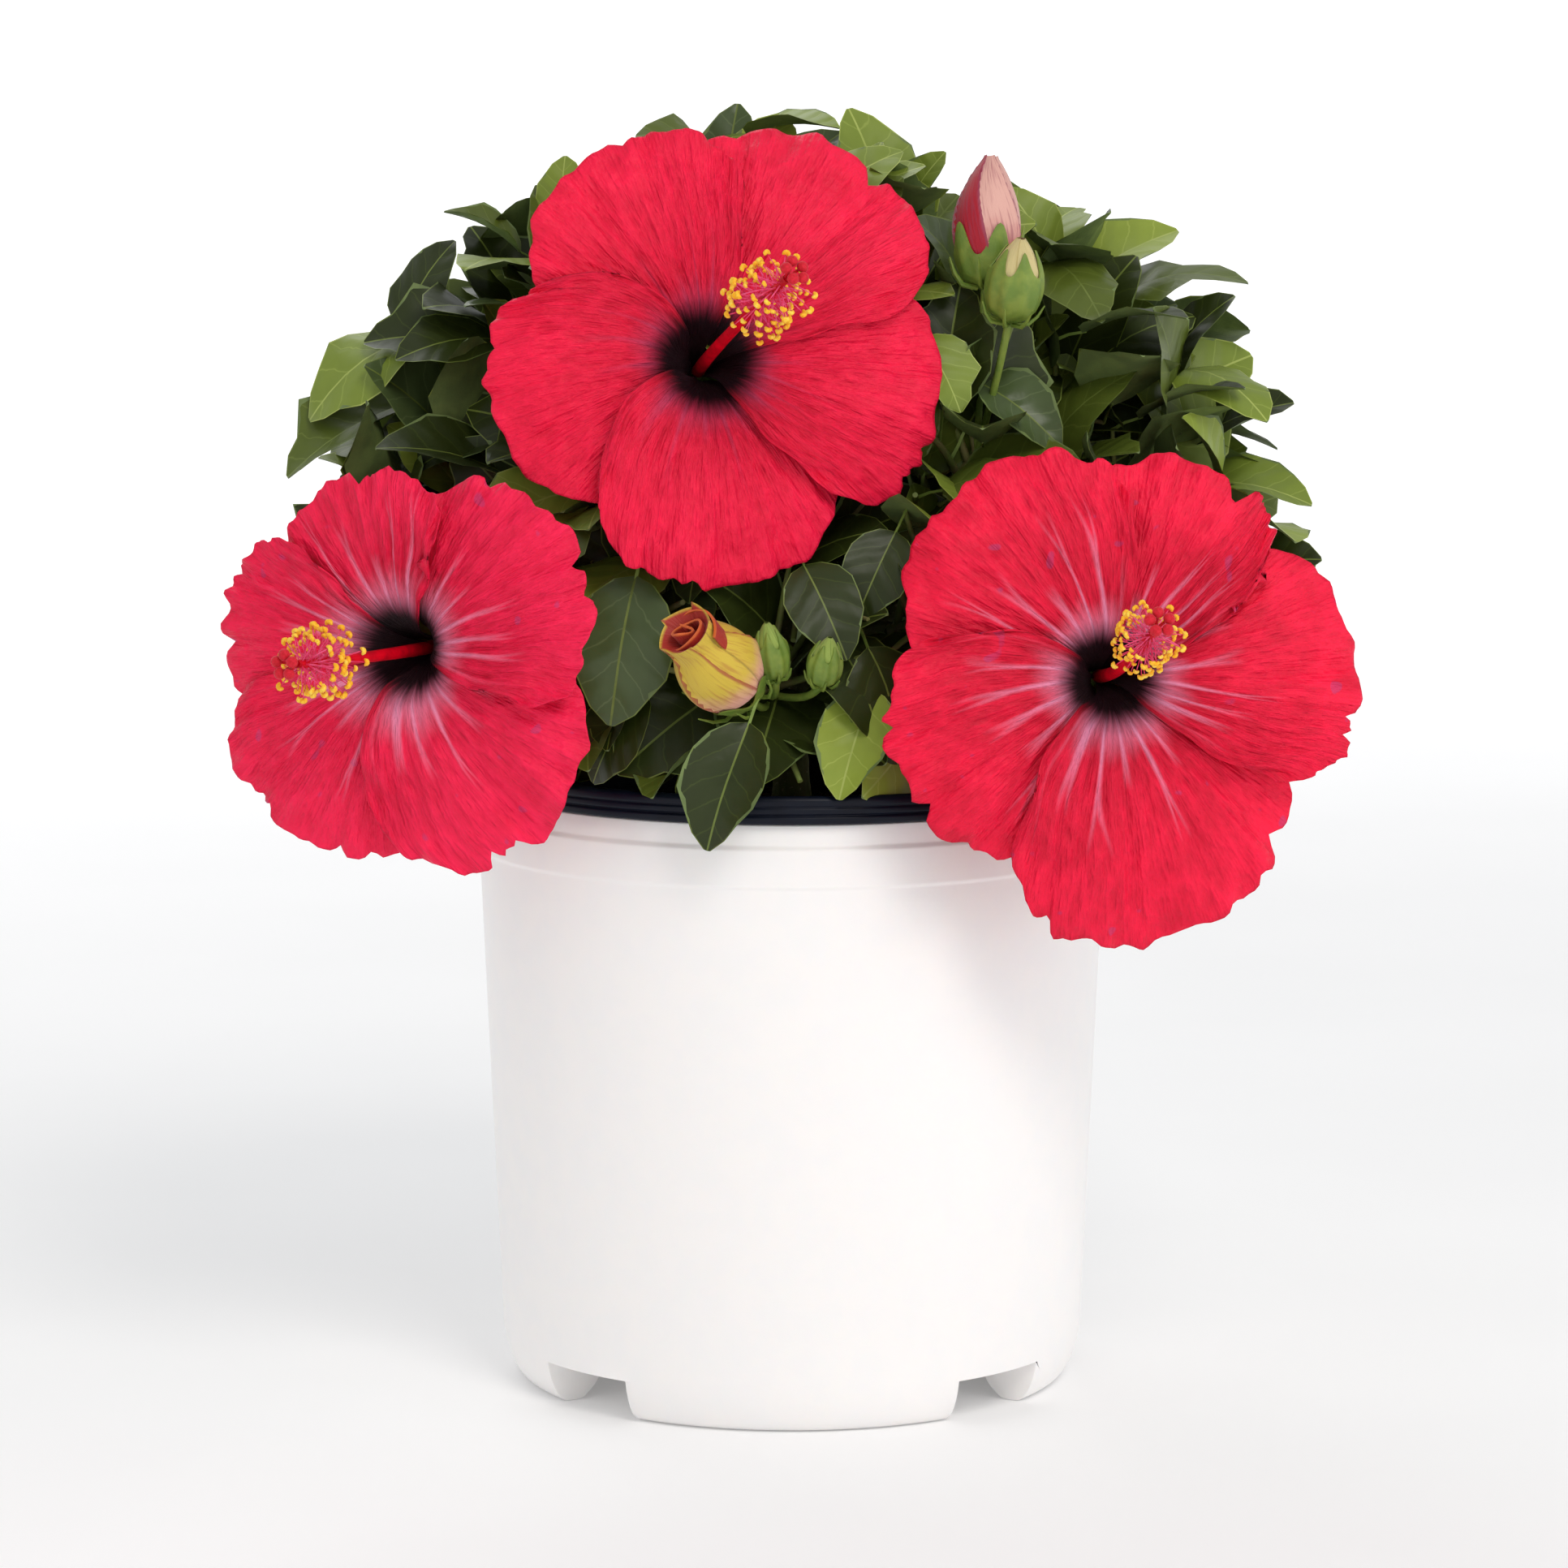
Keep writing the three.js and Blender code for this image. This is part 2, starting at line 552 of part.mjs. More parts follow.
// A thin stalk that swells to a head at its end
function pinSolid(root, end, head, extra) {
  const share = 1 - (0.8 * head) / root.distanceTo(end);
  const rings = [[0, COLUMN.thread + extra], [share, head + extra], [1, 0.4 * head + extra]];
  return limbSolid(straight(root, end), rings, 3);
}

// The way square to an axis at a turn round it, in degrees
function aroundAxis(axis, turn) {
  const [side, across] = squareTo(axis);
  return side.multiplyScalar(Math.cos(radians(turn))).addScaledVector(across, Math.sin(radians(turn)));
}

function columnSolid(bloom, extra) {
  const { place } = bloomFrame(bloom);
  const tip = vector(bloom.stigma);
  const curve = new THREE.QuadraticBezierCurve3(place(0, 0, COLUMN.root), place(0, 0, COLUMN.bow), tip);
  const rings = evenRings(5, (t) => mix(COLUMN.radius, COLUMN.tipRadius, t) + extra);
  const pieces = [limbSolid(curve, rings, 5)];
  for (let n = 0; n < COLUMN.stamens; n++) {
    const t = mix(0.6, 0.97, n / (COLUMN.stamens - 1));
    const tangent = curve.getTangent(t);
    const way = aroundAxis(tangent, GOLDEN * n).addScaledVector(tangent, 0.45).normalize();
    const length = COLUMN.filament * mix(0.85, 1.15, chance(bloom.seed + 40, n));
    const end = curve.getPoint(t).addScaledVector(way, length);
    pieces.push(pinSolid(curve.getPoint(t), end, COLUMN.anther, extra));
  }
  for (let n = 0; n < COLUMN.styles; n++) {
    const tangent = curve.getTangent(1);
    const way = aroundAxis(tangent, 72 * n).multiplyScalar(0.75).add(tangent).normalize();
    const root = curve.getPoint(0.97);
    const end = root.clone().addScaledVector(way, COLUMN.style);
    pieces.push(pinSolid(root, end, COLUMN.pad, extra));
  }
  return joined(pieces);
}

function calyxSolid(bloom, extra) {
  const { place, facing } = bloomFrame(bloom);
  const floor = -BLOOM.tubeDepth - CLEARANCE;
  const inside = BLOOM.neck - CLEARANCE;
  const cup = bloomTurned(bloom, [
    [0, floor - 4], [3.4 + extra, floor - 4], [CALYX.radius + extra, floor],
    [BLOOM.neckRadius + 2.4 + extra, inside], [BLOOM.neckRadius + CLEARANCE + 0.2, inside],
    [BLOOM.tubeRadius + CLEARANCE + 0.1, floor], [0, floor],
  ], BLOOM.sides);
  const pieces = [cup];
  for (let n = 0; n < CALYX.lobes; n++) {
    const angle = radians(72 * n + 20);
    const at = (r, z) => place(r * Math.cos(angle), r * Math.sin(angle), z);
    const root = at(CALYX.radius + 1.4, floor + 6);
    const point = at(CALYX.radius + CALYX.lobe * 0.85, floor + CALYX.lobe + 2);
    pieces.push(limbSolid(straight(root, point), [[0, 1.6 + extra], [1, 0.5 + extra]], 3));
  }
  const knot = bloomKnot(bloom);
  const start = knot.clone().addScaledVector(limbs.get(bloom.name).getTangent(1), CLEARANCE);
  const stalk = new THREE.QuadraticBezierCurve3(place(0, 0, floor - 3), place(0, 0, floor - 20), start);
  pieces.push(limbSolid(stalk, evenRings(3, () => CALYX.stalk + extra), 5));
  return joined(pieces);
}

function makeBlooms() {
  for (const bloom of BLOOMS) {
    addNode(bloom.name + '_petals', corollaSolid(bloom, 0), COLOURS.petal);
    addNode(bloom.name + '_column', columnSolid(bloom, 0), COLOURS.stamen);
    let calyx = calyxSolid(bloom, 0);
    for (const limb of widened) calyx = calyx.subtract(limb);
    addNode(bloom.name + '_calyx', calyx, COLOURS.calyx);
    keepOut.push(corollaSolid(bloom, 2 * CLEARANCE), columnSolid(bloom, CLEARANCE));
    keepOut.push(calyxSolid(bloom, CLEARANCE));
  }
}

// Foliage

// A leaf: a three-sided root sunk in the twig, then a blade that is widest near its middle, with its
// midrib raised above its sides
function leafPoints(leaf, extra) {
  const { root, way, normal, length, width } = leaf;
  const side = new THREE.Vector3().crossVectors(way, normal).normalize();
  const at = (along, across, height) => root.clone().addScaledVector(way, along)
    .addScaledVector(side, across).addScaledVector(normal, height);
  const r = LEAF.rootRadius + extra;
  return [
    at(-extra, 0, r), at(-extra, -0.87 * r, -0.5 * r), at(-extra, 0.87 * r, -0.5 * r),
    at(LEAF.widest * length, -width / 2 - extra, -LEAF.fold),
    at(length + extra, 0, extra),
    at(LEAF.widest * length, width / 2 + extra, -LEAF.fold),
  ];
}

function leafSolid(leaf, extra) {
  const faces = [[0, 2, 1], [0, 1, 3], [0, 5, 2], [1, 2, 5], [1, 5, 3], [3, 5, 4], [0, 3, 4], [0, 4, 5]];
  return solidOf(geometryOf(leafPoints(leaf, extra), faces));
}

// How a leaf stands on a twig at one turn round it
function leafAt(mass, root, tangent, turn, size, count) {
  const outward = root.clone().sub(HEART).normalize();
  const around = aroundAxis(tangent, turn);
  const droop = LEAF.hang * (1 - outward.z) * chance(mass.seed + 7, count);
  const way = around.clone().addScaledVector(tangent, 0.3)
    .addScaledVector(outward, 0.3 + 0.4 * chance(mass.seed + 6, count))
    .addScaledVector(UP, 0.1 - droop).normalize();
  const normal = outward.clone().multiplyScalar(0.9).addScaledVector(UP, 0.5)
    .addScaledVector(around, 0.5 * (chance(mass.seed + 8, count) - 0.5));
  normal.addScaledVector(way, -normal.dot(way)).normalize();
  return { root, way, normal, length: LEAF.length * size, width: LEAF.width * size };
}

// True if every point lies in the mass's own space, which is all that is nearer to its centre than
// to another's, no further out than it reaches and not too low
function inOwnSpace(mass, points) {
  const centre = massCentre(mass);
  return points.every((p) => {
    if (p.distanceTo(HEART) > mass.reach + 4 || p.z < LOWEST_LEAF) return false;
    return MASSES.every((other) => {
      if (other === mass) return true;
      const there = massCentre(other);
      const nearer = p.distanceToSquared(there) - p.distanceToSquared(centre);
      return nearer / (2 * centre.distanceTo(there)) > CELL_GAP;
    });
  });
}

function touches(solid, others) {
  const box = solid.boundingBox();
  return others.some((other) => {
    const b = other.boundingBox();
    const apart = [0, 1, 2].some((k) => b.min[k] > box.max[k] || b.max[k] < box.min[k]);
    return !apart && solid.intersect(other).volume() > 1e-3;
  });
}

// The stem of a mass runs on from its bough
function stemOf(mass) {
  const start = massEntry(mass).addScaledVector(limbs.get(mass.name).getTangent(1), CLEARANCE);
  return straight(start, fromHeart(mass, mass.reach - TWIG.lead));
}

// The twigs of a mass and the places where leaves may grow, by one rule for every mass
function growth(mass, stem) {
  const way = heading(mass.azimuth, mass.elevation);
  const [side, across] = squareTo(way);
  const lean = (turn, angle) => way.clone().multiplyScalar(Math.cos(angle))
    .addScaledVector(side, Math.sin(angle) * Math.cos(turn))
    .addScaledVector(across, Math.sin(angle) * Math.sin(turn));
  const twigs = [];
  const places = [];
  const first = 360 * chance(mass.seed, 0);
  for (let n = 0; n < TWIG.count; n++) {
    const t = mix(0.1, 0.85, n / (TWIG.count - 1));
    const angle = radians(TWIG.lean + 16 * (chance(mass.seed, n + 1) - 0.5));
    const from = stem.getPoint(t);
    const goal = lean(radians(GOLDEN * n + first), angle).multiplyScalar(TWIG.length * mix(1, 0.75, t));
    const twig = straight(from, from.clone().add(goal));
    twigs.push(twig);
    for (let k = 0; k < 4; k++) {
      const share = k / 3;
      const turn = GOLDEN * (k + n);
      places.push({ curve: twig, t: mix(0.96, 0.4, share), turn, size: mix(0.85, 1, share) });
    }
  }
  for (let k = 0; k < 5; k++) {
    const share = k / 4;
    const turn = GOLDEN * k + first;
    places.push({ curve: stem, t: mix(0.4, 0.98, share), turn, size: mix(1, 0.8, share) });
  }
  return { twigs, places };
}

// The foremost leaf at the end of a mass's stem
function tipLeaf(mass, stem) {
  const way = heading(mass.azimuth, mass.elevation).addScaledVector(UP, 0.1).normalize();
  const [, normal] = squareTo(way);
  return { root: stem.getPoint(0.98), way, normal, length: TWIG.lead, width: LEAF.width * 0.8 };
}

// A closed bud with its stalk, which runs back to the mass's stem
function budSolid(bud, stem, extra) {
  const base = vector(bud.base);
  const tip = vector(bud.tip);
  const body = limbSolid(straight(base, tip),
    evenRings(4, (t) => bud.radius * Math.sin(Math.PI * mix(0.16, 0.93, t)) ** 0.8 + extra), 7);
  const below = base.clone().lerp(tip, -0.5);
  const stalk = new THREE.QuadraticBezierCurve3(stem.getPoint(0.9), below, base.clone().lerp(tip, 0.2));
  return joined([body, limbSolid(stalk, evenRings(3, () => 1.15 + extra), 3)]);
}

// A leading leaf on its own twig, which runs from the mass's stem to the base of its blade
function leaderSolids(leader, stem, extra) {
  const root = vector(leader.base);
  const way = vector(leader.tip).sub(root);
  const length = way.length();
  way.normalize();
  const normal = root.clone().sub(HEART).normalize().multiplyScalar(0.5)
    .add(UP).addScaledVector(new THREE.Vector3(0, -1, 0), leader.face);
  normal.addScaledVector(way, -normal.dot(way)).normalize();
  const leaf = { root, way, normal, length, width: LEAF.width * Math.max(length / LEAF.length, 0.72) };
  const from = stem.getPoint(leader.from);
  const end = root.clone().addScaledVector(root.clone().sub(from).normalize(), 1);
  const rings = [[0, TWIG.radius + extra], [1, LEAF.rootRadius + 0.3 + extra]];
  return [leafSolid(leaf, extra), limbSolid(straight(from, end), rings, 3)];
}

function makeFoliage() {
  const plans = MASSES.map((mass) => {
    const stem = stemOf(mass);
    const buds = BUDS.filter((bud) => bud.mass === mass.name);
    const leaders = LEADERS.filter((leader) => leader.mass === mass.name);
    const fixed = (extra) => [...buds.map((bud) => budSolid(bud, stem, extra)),
      ...leaders.flatMap((leader) => leaderSolids(leader, stem, extra))];
    const stemRoom = limbSolid(stem, [[0, 3.2], [1, 2.7]], 4);
    return { mass, stem, fixed: fixed(0), room: fixed(CLEARANCE + 0.3), stemRoom };
  });
  for (const plan of plans) {
    const { mass, stem } = plan;
    const others = plans.filter((other) => other !== plan);
    const near = [...widened, ...keepOut, ...others.flatMap((other) => [...other.room, other.stemRoom])];
    const { twigs, places } = growth(mass, stem);
    const pieces = [limbSolid(stem, [[0, LIMB.tip], [1, LIMB.stemTip]], 4), ...plan.fixed];
    const kept = new Map([[stem, plan.stemRoom]]);
    for (const twig of twigs) {
      const solid = limbSolid(twig, [[0, TWIG.radius], [1, TWIG.tipRadius]], 3);
      if (!inOwnSpace(mass, [twig.v1, twig.v2]) || touches(solid, near)) continue;
      kept.set(twig, solid);
    }
    const placed = [];
    const leafy = new Set();
    const tryLeaf = (leaf, own) => {
      const roomy = leafSolid(leaf, 0.4);
      if (!inOwnSpace(mass, leafPoints(leaf, 0.4).slice(3))) return false;
      const wood = [...kept].filter(([curve]) => curve !== own).map(([, solid]) => solid);
      if (touches(roomy, [...near, ...plan.room, ...placed, ...wood])) return false;
      placed.push(roomy);
      pieces.push(leafSolid(leaf, 0));
      leafy.add(own);
      return true;
    };
    tryLeaf(tipLeaf(mass, stem), stem);
    places.forEach(({ curve, t, turn, size }, count) => {
      if (!kept.has(curve)) return;
      const tries = LEAF.sizes.flatMap((less) => LEAF.turns.map((more) => [more, less]));
      tries.some(([more, less]) => tryLeaf(
        leafAt(mass, curve.getPoint(t), curve.getTangent(t), turn + more, size * less, count), curve));
    });
    for (const twig of twigs) {
      if (leafy.has(twig)) pieces.push(kept.get(twig));
    }
    let whole = joined(pieces);
    for (const limb of widened) whole = whole.subtract(limb);
    addNode('foliage_' + mass.name, whole, COLOURS.leaf);
  }
}

makePot();
makeLimbs();
makeBlooms();
makeFoliage();

export default group;
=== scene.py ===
"""A potted hibiscus shrub in flower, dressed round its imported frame.

A white moulded nursery pot with a dark liner and rim, bark potting mix, green-barked trunk and boughs,
leafy twigs, buds and three large open blooms. Sizes are in millimetres until a mesh is made of them.
The origin is the centre of the pot's underside, +Z is up and -Y faces the viewer. An azimuth of
0 degrees points to -Y and one of 90 degrees to +X.
"""

import json
import logging
import math
from collections.abc import Callable, Sequence
from dataclasses import dataclass, field, replace
from enum import IntEnum
from functools import partial
from typing import Any

import bpy
import numpy as np
from mathutils import Matrix, Quaternion, Vector, noise

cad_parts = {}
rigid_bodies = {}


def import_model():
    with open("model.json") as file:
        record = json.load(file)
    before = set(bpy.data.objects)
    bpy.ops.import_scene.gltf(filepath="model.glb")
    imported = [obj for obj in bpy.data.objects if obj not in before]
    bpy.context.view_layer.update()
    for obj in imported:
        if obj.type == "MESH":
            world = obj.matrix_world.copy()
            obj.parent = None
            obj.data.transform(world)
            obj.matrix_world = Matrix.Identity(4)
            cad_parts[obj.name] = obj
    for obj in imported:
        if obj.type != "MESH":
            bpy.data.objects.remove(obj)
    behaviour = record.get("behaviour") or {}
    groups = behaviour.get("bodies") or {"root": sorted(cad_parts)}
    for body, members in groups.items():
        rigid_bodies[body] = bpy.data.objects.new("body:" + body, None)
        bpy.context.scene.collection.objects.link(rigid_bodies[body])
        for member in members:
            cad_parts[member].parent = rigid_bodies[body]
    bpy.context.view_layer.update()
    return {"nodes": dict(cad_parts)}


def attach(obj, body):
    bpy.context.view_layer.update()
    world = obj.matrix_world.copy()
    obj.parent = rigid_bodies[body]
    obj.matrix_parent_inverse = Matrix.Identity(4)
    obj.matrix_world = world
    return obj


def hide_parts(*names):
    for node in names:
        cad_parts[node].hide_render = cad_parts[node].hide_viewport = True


LOG = logging.getLogger("shrub")
MM = 0.001
BODY = "root"
UP = Vector((0.0, 0.0, 1.0))
VIEWER = Vector((0.0, -1.0, 0.0))
GOLDEN = 137.5  # turn from one leaf to the next, in degrees
TURN = 2 * math.pi
HASH_BITS = 0xFFFFFFFF
Faces = list[tuple[int, ...]]
Triple = tuple[float, float, float]
Inputs = dict[str | int, Any] | Sequence[Any]
Socket, Tree = bpy.types.NodeSocket, bpy.types.NodeTree
Material, Piece = bpy.types.Material, bpy.types.Object


def chance(seed: int, count: int) -> float:
    """A steady random number from 0 to 1.

    Args:
        seed: which series it belongs to.
        count: its place in that series.

    Returns:
        The same number on every run.
    """
    h = ((seed + 1) * 374761393 + (count + 1) * 668265263) & HASH_BITS
    h = ((h ^ (h >> 13)) * 1274126177) & HASH_BITS
    h = ((h ^ (h >> 15)) * 2246822519) & HASH_BITS
    return ((h ^ (h >> 16)) & HASH_BITS) / (HASH_BITS + 1)


def mix(a: Any, b: Any, share: float) -> Any:
    """The value a share of the way from a to b."""
    return a + (b - a) * share


def ease(low: float, high: float, value: Any) -> Any:
    """A smooth step from 0 at low to 1 at high, for a number or an array."""
    t = np.clip((value - low) / (high - low), 0.0, 1.0)
    return t * t * (3.0 - 2.0 * t)


def heading(azimuth: float, elevation: float) -> Vector:
    """The direction of an azimuth and an elevation, both in degrees."""
    a, e = math.radians(azimuth), math.radians(elevation)
    return Vector((math.sin(a) * math.cos(e), -math.cos(a) * math.cos(e), math.sin(e)))


def square_to(axis: Vector) -> tuple[Vector, Vector]:
    """Two directions square to an axis; for one that faces the viewer they are right and up."""
    side = (Vector((0.0, 1.0, 0.0)) if abs(axis.z) > 0.95 else UP).cross(axis).normalized()
    return side, axis.cross(side).normalized()


def around(axis: Vector, turn: float) -> Vector:
    """The direction square to an axis at a turn round it, in degrees."""
    side, across = square_to(axis)
    return side * math.cos(math.radians(turn)) + across * math.sin(math.radians(turn))


def circle(radius: Any, angles: np.ndarray, z: Any) -> np.ndarray:
    """The points at some angles round the Z axis, in radians."""
    return np.stack([radius * np.cos(angles), radius * np.sin(angles), z * np.ones_like(radius * angles)], -1)


def linear(code: str) -> tuple[float, float, float, float]:
    """A Blender colour from an sRGB hex value such as #f3f1ee."""
    parts = [int(code[i:i + 2], 16) / 255 for i in (1, 3, 5)]
    return *(c / 12.92 if c <= 0.04045 else ((c + 0.055) / 1.055) ** 2.4 for c in parts), 1.0


@dataclass(frozen=True)
class Curve:
    """A quadratic curve from its start to its end, drawn towards its bend."""

    start: Vector
    bend: Vector
    end: Vector

    @classmethod
    def straight(cls, start: Vector, end: Vector) -> "Curve":
        """The straight line between two points."""
        return cls(start, (start + end) / 2, end)

    def point(self, t: float) -> Vector:
        """The point at a share of the way along."""
        return self.start * (1 - t) ** 2 + self.bend * (2 * t * (1 - t)) + self.end * t ** 2

    def tangent(self, t: float) -> Vector:
        """The direction at a share of the way along."""
        return ((self.bend - self.start) * (1 - t) + (self.end - self.bend) * t).normalized()

    def points(self, count: int) -> np.ndarray:
        """Evenly shared points from the start to the end."""
        return np.array([self.point(i / (count - 1)) for i in range(count)])

    def length(self) -> float:
        """The length, within a percent or so."""
        return float(np.linalg.norm(np.diff(self.points(9), axis=0), axis=1).sum())


@dataclass(frozen=True)
class Body:
    """One closed body of a piece while it is being made, in millimetres."""

    points: np.ndarray
    faces: Faces
    finish: int | Sequence[int] = 0  # which of the piece's materials it has, or one for each face
    place: np.ndarray | None = None  # where each point lies on the surface, for patterns that follow it

    def outward(self) -> Faces:
        """Finds which way the body's faces point, from its volume.

        Returns:
            Its faces, all turned if they point inwards.
        """
        fans = np.array([(f[0], f[k], f[k + 1]) for f in self.faces for k in range(1, len(f) - 1)])
        a, b, c = (self.points[fans[:, k]] for k in range(3))
        inside_out = np.einsum("ij,ij->i", a, np.cross(b, c)).sum() < 0
        return [tuple(reversed(face)) for face in self.faces] if inside_out else self.faces


def placed(name: str, mesh: bpy.types.Mesh) -> Piece:
    """A new object in the scene that shows a mesh.

    Args:
        name: the object's name.
        mesh: what it shows.

    Returns:
        The object.
    """
    piece = bpy.data.objects.new(name, mesh)
    bpy.context.scene.collection.objects.link(piece)
    return piece


def built(name: str, finishes: Sequence[Material], bodies: Sequence[Body],
          crease: float | None = None) -> Piece:
    """Makes a piece of closed bodies.

    Args:
        name: the piece's name.
        finishes: its materials.
        bodies: its bodies.
        crease: the angle in degrees past which an edge stays sharp, or None for none.

    Returns:
        The object, at the origin, with its place in its mesh.
    """
    mesh = bpy.data.meshes.new(name)
    starts = np.cumsum([0, *(len(body.points) for body in bodies)]).tolist()
    faces = [tuple(i + start for i in face) for body, start in zip(bodies, starts) for face in body.outward()]
    mesh.from_pydata((np.concatenate([body.points for body in bodies]) * MM).tolist(), [], faces)
    for finish in finishes:
        mesh.materials.append(finish)
    numbers = np.concatenate([np.broadcast_to(body.finish, len(body.faces)) for body in bodies])
    mesh.polygons.foreach_set("material_index", numbers.astype(np.int32))
    corner = np.zeros(len(mesh.loops), np.int32)
    mesh.loops.foreach_get("vertex_index", corner)
    places = [np.zeros((len(body.points), 2)) if body.place is None else body.place for body in bodies]
    layer = mesh.uv_layers.new(name="Surface")
    layer.data.foreach_set("uv", np.concatenate(places)[corner].astype(np.float32).ravel())
    mesh.shade_smooth()
    if crease is not None:
        mesh.set_sharp_from_angle(angle=math.radians(crease))
    return placed(name, mesh)


def grid(rows: int, columns: int, ring: bool = False, first: int = 0) -> Faces:
    """The faces between the rows of a grid of points.

    Args:
        rows: how many rows it has.
        columns: how many points each row has.
        ring: True if each row closes into a ring.
        first: the number of its first point.

    Returns:
        Its faces, four points each.
    """
    faces: Faces = []
    for i in range(rows - 1):
        for k in range(columns if ring else columns - 1):
            a, b = (first + i * columns + j for j in (k, (k + 1) % columns))
            faces.append((a, b, b + columns, a + columns))
    return faces


def flipped(faces: Faces) -> Faces:
    """The same faces, turned to point the other way."""
    return [(face[0], *face[:0:-1]) for face in faces]


def rolled(rows: int, sides: int) -> Faces:
    """The faces of a row of rings, with a flat face on the first and on the last."""
    first, last = tuple(range(sides)), tuple(range((rows - 1) * sides, rows * sides))
    return [*grid(rows, sides, True), *flipped([first]), last]


def tube(points: np.ndarray, radii: Sequence[float] | np.ndarray, sides: int, finish: int = 0,
         relief: Callable[[Vector], float] = lambda at: 0.0) -> Body:
    """A closed tube along points.

    Args:
        points: the middle of each ring.
        radii: the radius of each ring.
        sides: how many sides it has.
        finish: which of the piece's materials it has.
        relief: how far the surface stands proud at a point.

    Returns:
        The tube.
    """
    tangents = np.gradient(points, axis=0)
    side = square_to(Vector(tangents[0]).normalized())[0]
    rings = []
    for centre, tangent, radius in zip(points, tangents, radii):
        along = Vector(tangent).normalized()
        side = (side - along * side.dot(along)).normalized()
        across = along.cross(side)
        for k in range(sides):
            angle = TURN * k / sides
            way = side * math.cos(angle) + across * math.sin(angle)
            at = Vector(centre) + way * radius
            rings.append(at + way * relief(at))
    return Body(np.array(rings), rolled(len(points), sides), finish)


def turned(profile: Sequence[tuple[float, float]], sides: int) -> Body:
    """Turns a closed body round the Z axis.

    Args:
        profile: the radius and height of its corners, from the axis to the axis.
        sides: how many sides it has.

    Returns:
        The body.
    """
    inner = profile[1:-1]
    angles = TURN * np.arange(sides) / sides
    poles = np.array([[0.0, 0.0, profile[0][1]], [0.0, 0.0, profile[-1][1]]])
    pole, last = len(inner) * sides, (len(inner) - 1) * sides
    faces = grid(len(inner), sides, True)
    for k, after in zip(range(sides), [*range(1, sides), 0]):
        faces += [(pole, after, k), (pole + 1, last + k, last + after)]
    return Body(np.concatenate([*(circle(r, angles, z) for r, z in inner), poles]), faces)


def rounded(corners: Sequence[Triple], steps: int = 4) -> list[tuple[float, float]]:
    """A profile with rounded corners.

    Args:
        corners: the radius, height and rounding of each corner.
        steps: how many steps each rounding takes.

    Returns:
        The points of the profile.
    """
    most = 0.48  # how much of the shorter side a rounding may take
    profile: list[tuple[float, float]] = []
    for i, (r, z, rounding) in enumerate(corners):
        here = Vector((r, z))
        if rounding == 0 or i in (0, len(corners) - 1):
            profile.append((r, z))
            continue
        before, after = Vector(corners[i - 1][:2]) - here, Vector(corners[i + 1][:2]) - here
        cut = min(rounding, before.length * most, after.length * most)
        ends = (here + before.normalized() * cut, here, here + after.normalized() * cut)
        arc = Curve(*(end.to_3d() for end in ends))
        profile += [tuple(arc.point(n / steps)[:2]) for n in range(steps + 1)]
    return profile


def sheet(top: np.ndarray, bottom: np.ndarray, place: np.ndarray) -> Body:
    """A closed sheet between two grids of points.

    Args:
        top: the points of its upper side.
        bottom: those of its lower side.
        place: where each pair of points lies on the surface.

    Returns:
        The sheet.
    """
    rows, columns = top.shape[:2]
    count = rows * columns
    rim = [*range(columns - 1), *range(columns - 1, count - 1, columns),
           *range(count - 1, count - columns, -1), *range(count - columns, 0, -columns)]
    edge = [(b, a, a + count, b + count) for a, b in zip(rim, [*rim[1:], rim[0]])]
    faces = [*grid(rows, columns), *flipped(grid(rows, columns, first=count)), *edge]
    return Body(np.concatenate([top.reshape(-1, 3), bottom.reshape(-1, 3)]), faces, 0,
                np.concatenate([place.reshape(-1, 2)] * 2))


def cup(outer: np.ndarray, inner: np.ndarray, finish: int = 0) -> Body:
    """A closed cup between two grids of rings.

    Args:
        outer: the rings of its outside, from the bottom up.
        inner: the rings of its inside.
        finish: which of the piece's materials it has.

    Returns:
        The cup.
    """
    rows, sides = outer.shape[:2]
    count = rows * sides
    brim = [(count - sides + k, count - sides + (k + 1) % sides) for k in range(sides)]
    faces = [*grid(rows, sides, True), *flipped(grid(rows, sides, True, count)),
             *flipped([tuple(range(sides))]), tuple(range(count, count + sides)),
             *((a, b, b + count, a + count) for a, b in brim)]
    return Body(np.concatenate([outer.reshape(-1, 3), inner.reshape(-1, 3)]), faces, finish)


def normals_of(surface: np.ndarray) -> np.ndarray:
    """The unit normal at each point of a grid of points."""
    found = np.cross(np.gradient(surface, axis=0), np.gradient(surface, axis=1))
    return found / np.maximum(np.linalg.norm(found, axis=2, keepdims=True), 1e-9)


def evaluated(piece: Piece, **kept: Any) -> bpy.types.Mesh:
    """The plain mesh that a piece's modifiers give."""
    depsgraph = bpy.context.evaluated_depsgraph_get()
    return bpy.data.meshes.new_from_object(piece.evaluated_get(depsgraph), depsgraph=depsgraph, **kept)


def dressed(piece: Piece, slot: str, *replaces: str) -> None:
    """Says what a finished piece rides on and stands for.

    Args:
        piece: the finished piece.
        slot: the record's material slot; not used.
        replaces: the nodes that it stands for.
    """
    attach(piece, BODY)
    if replaces:
        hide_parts(*replaces)
    LOG.info("%s: %d faces", piece.name, len(piece.data.polygons))


def wire(node: bpy.types.Node, inputs: Inputs) -> None:
    """Sets or links a node's inputs.

    Args:
        node: the node.
        inputs: a value, a hex colour or an output for each, by its name or number, or in the node's order.
    """
    if not isinstance(inputs, dict):
        inputs = dict(zip((k for k, socket in enumerate(node.inputs) if socket.enabled), inputs))
    for name, value in inputs.items():
        if isinstance(value, Socket):
            node.id_data.links.new(value, node.inputs[name])
        else:
            is_colour = isinstance(value, str) and value.startswith("#")
            node.inputs[name].default_value = linear(value) if is_colour else value


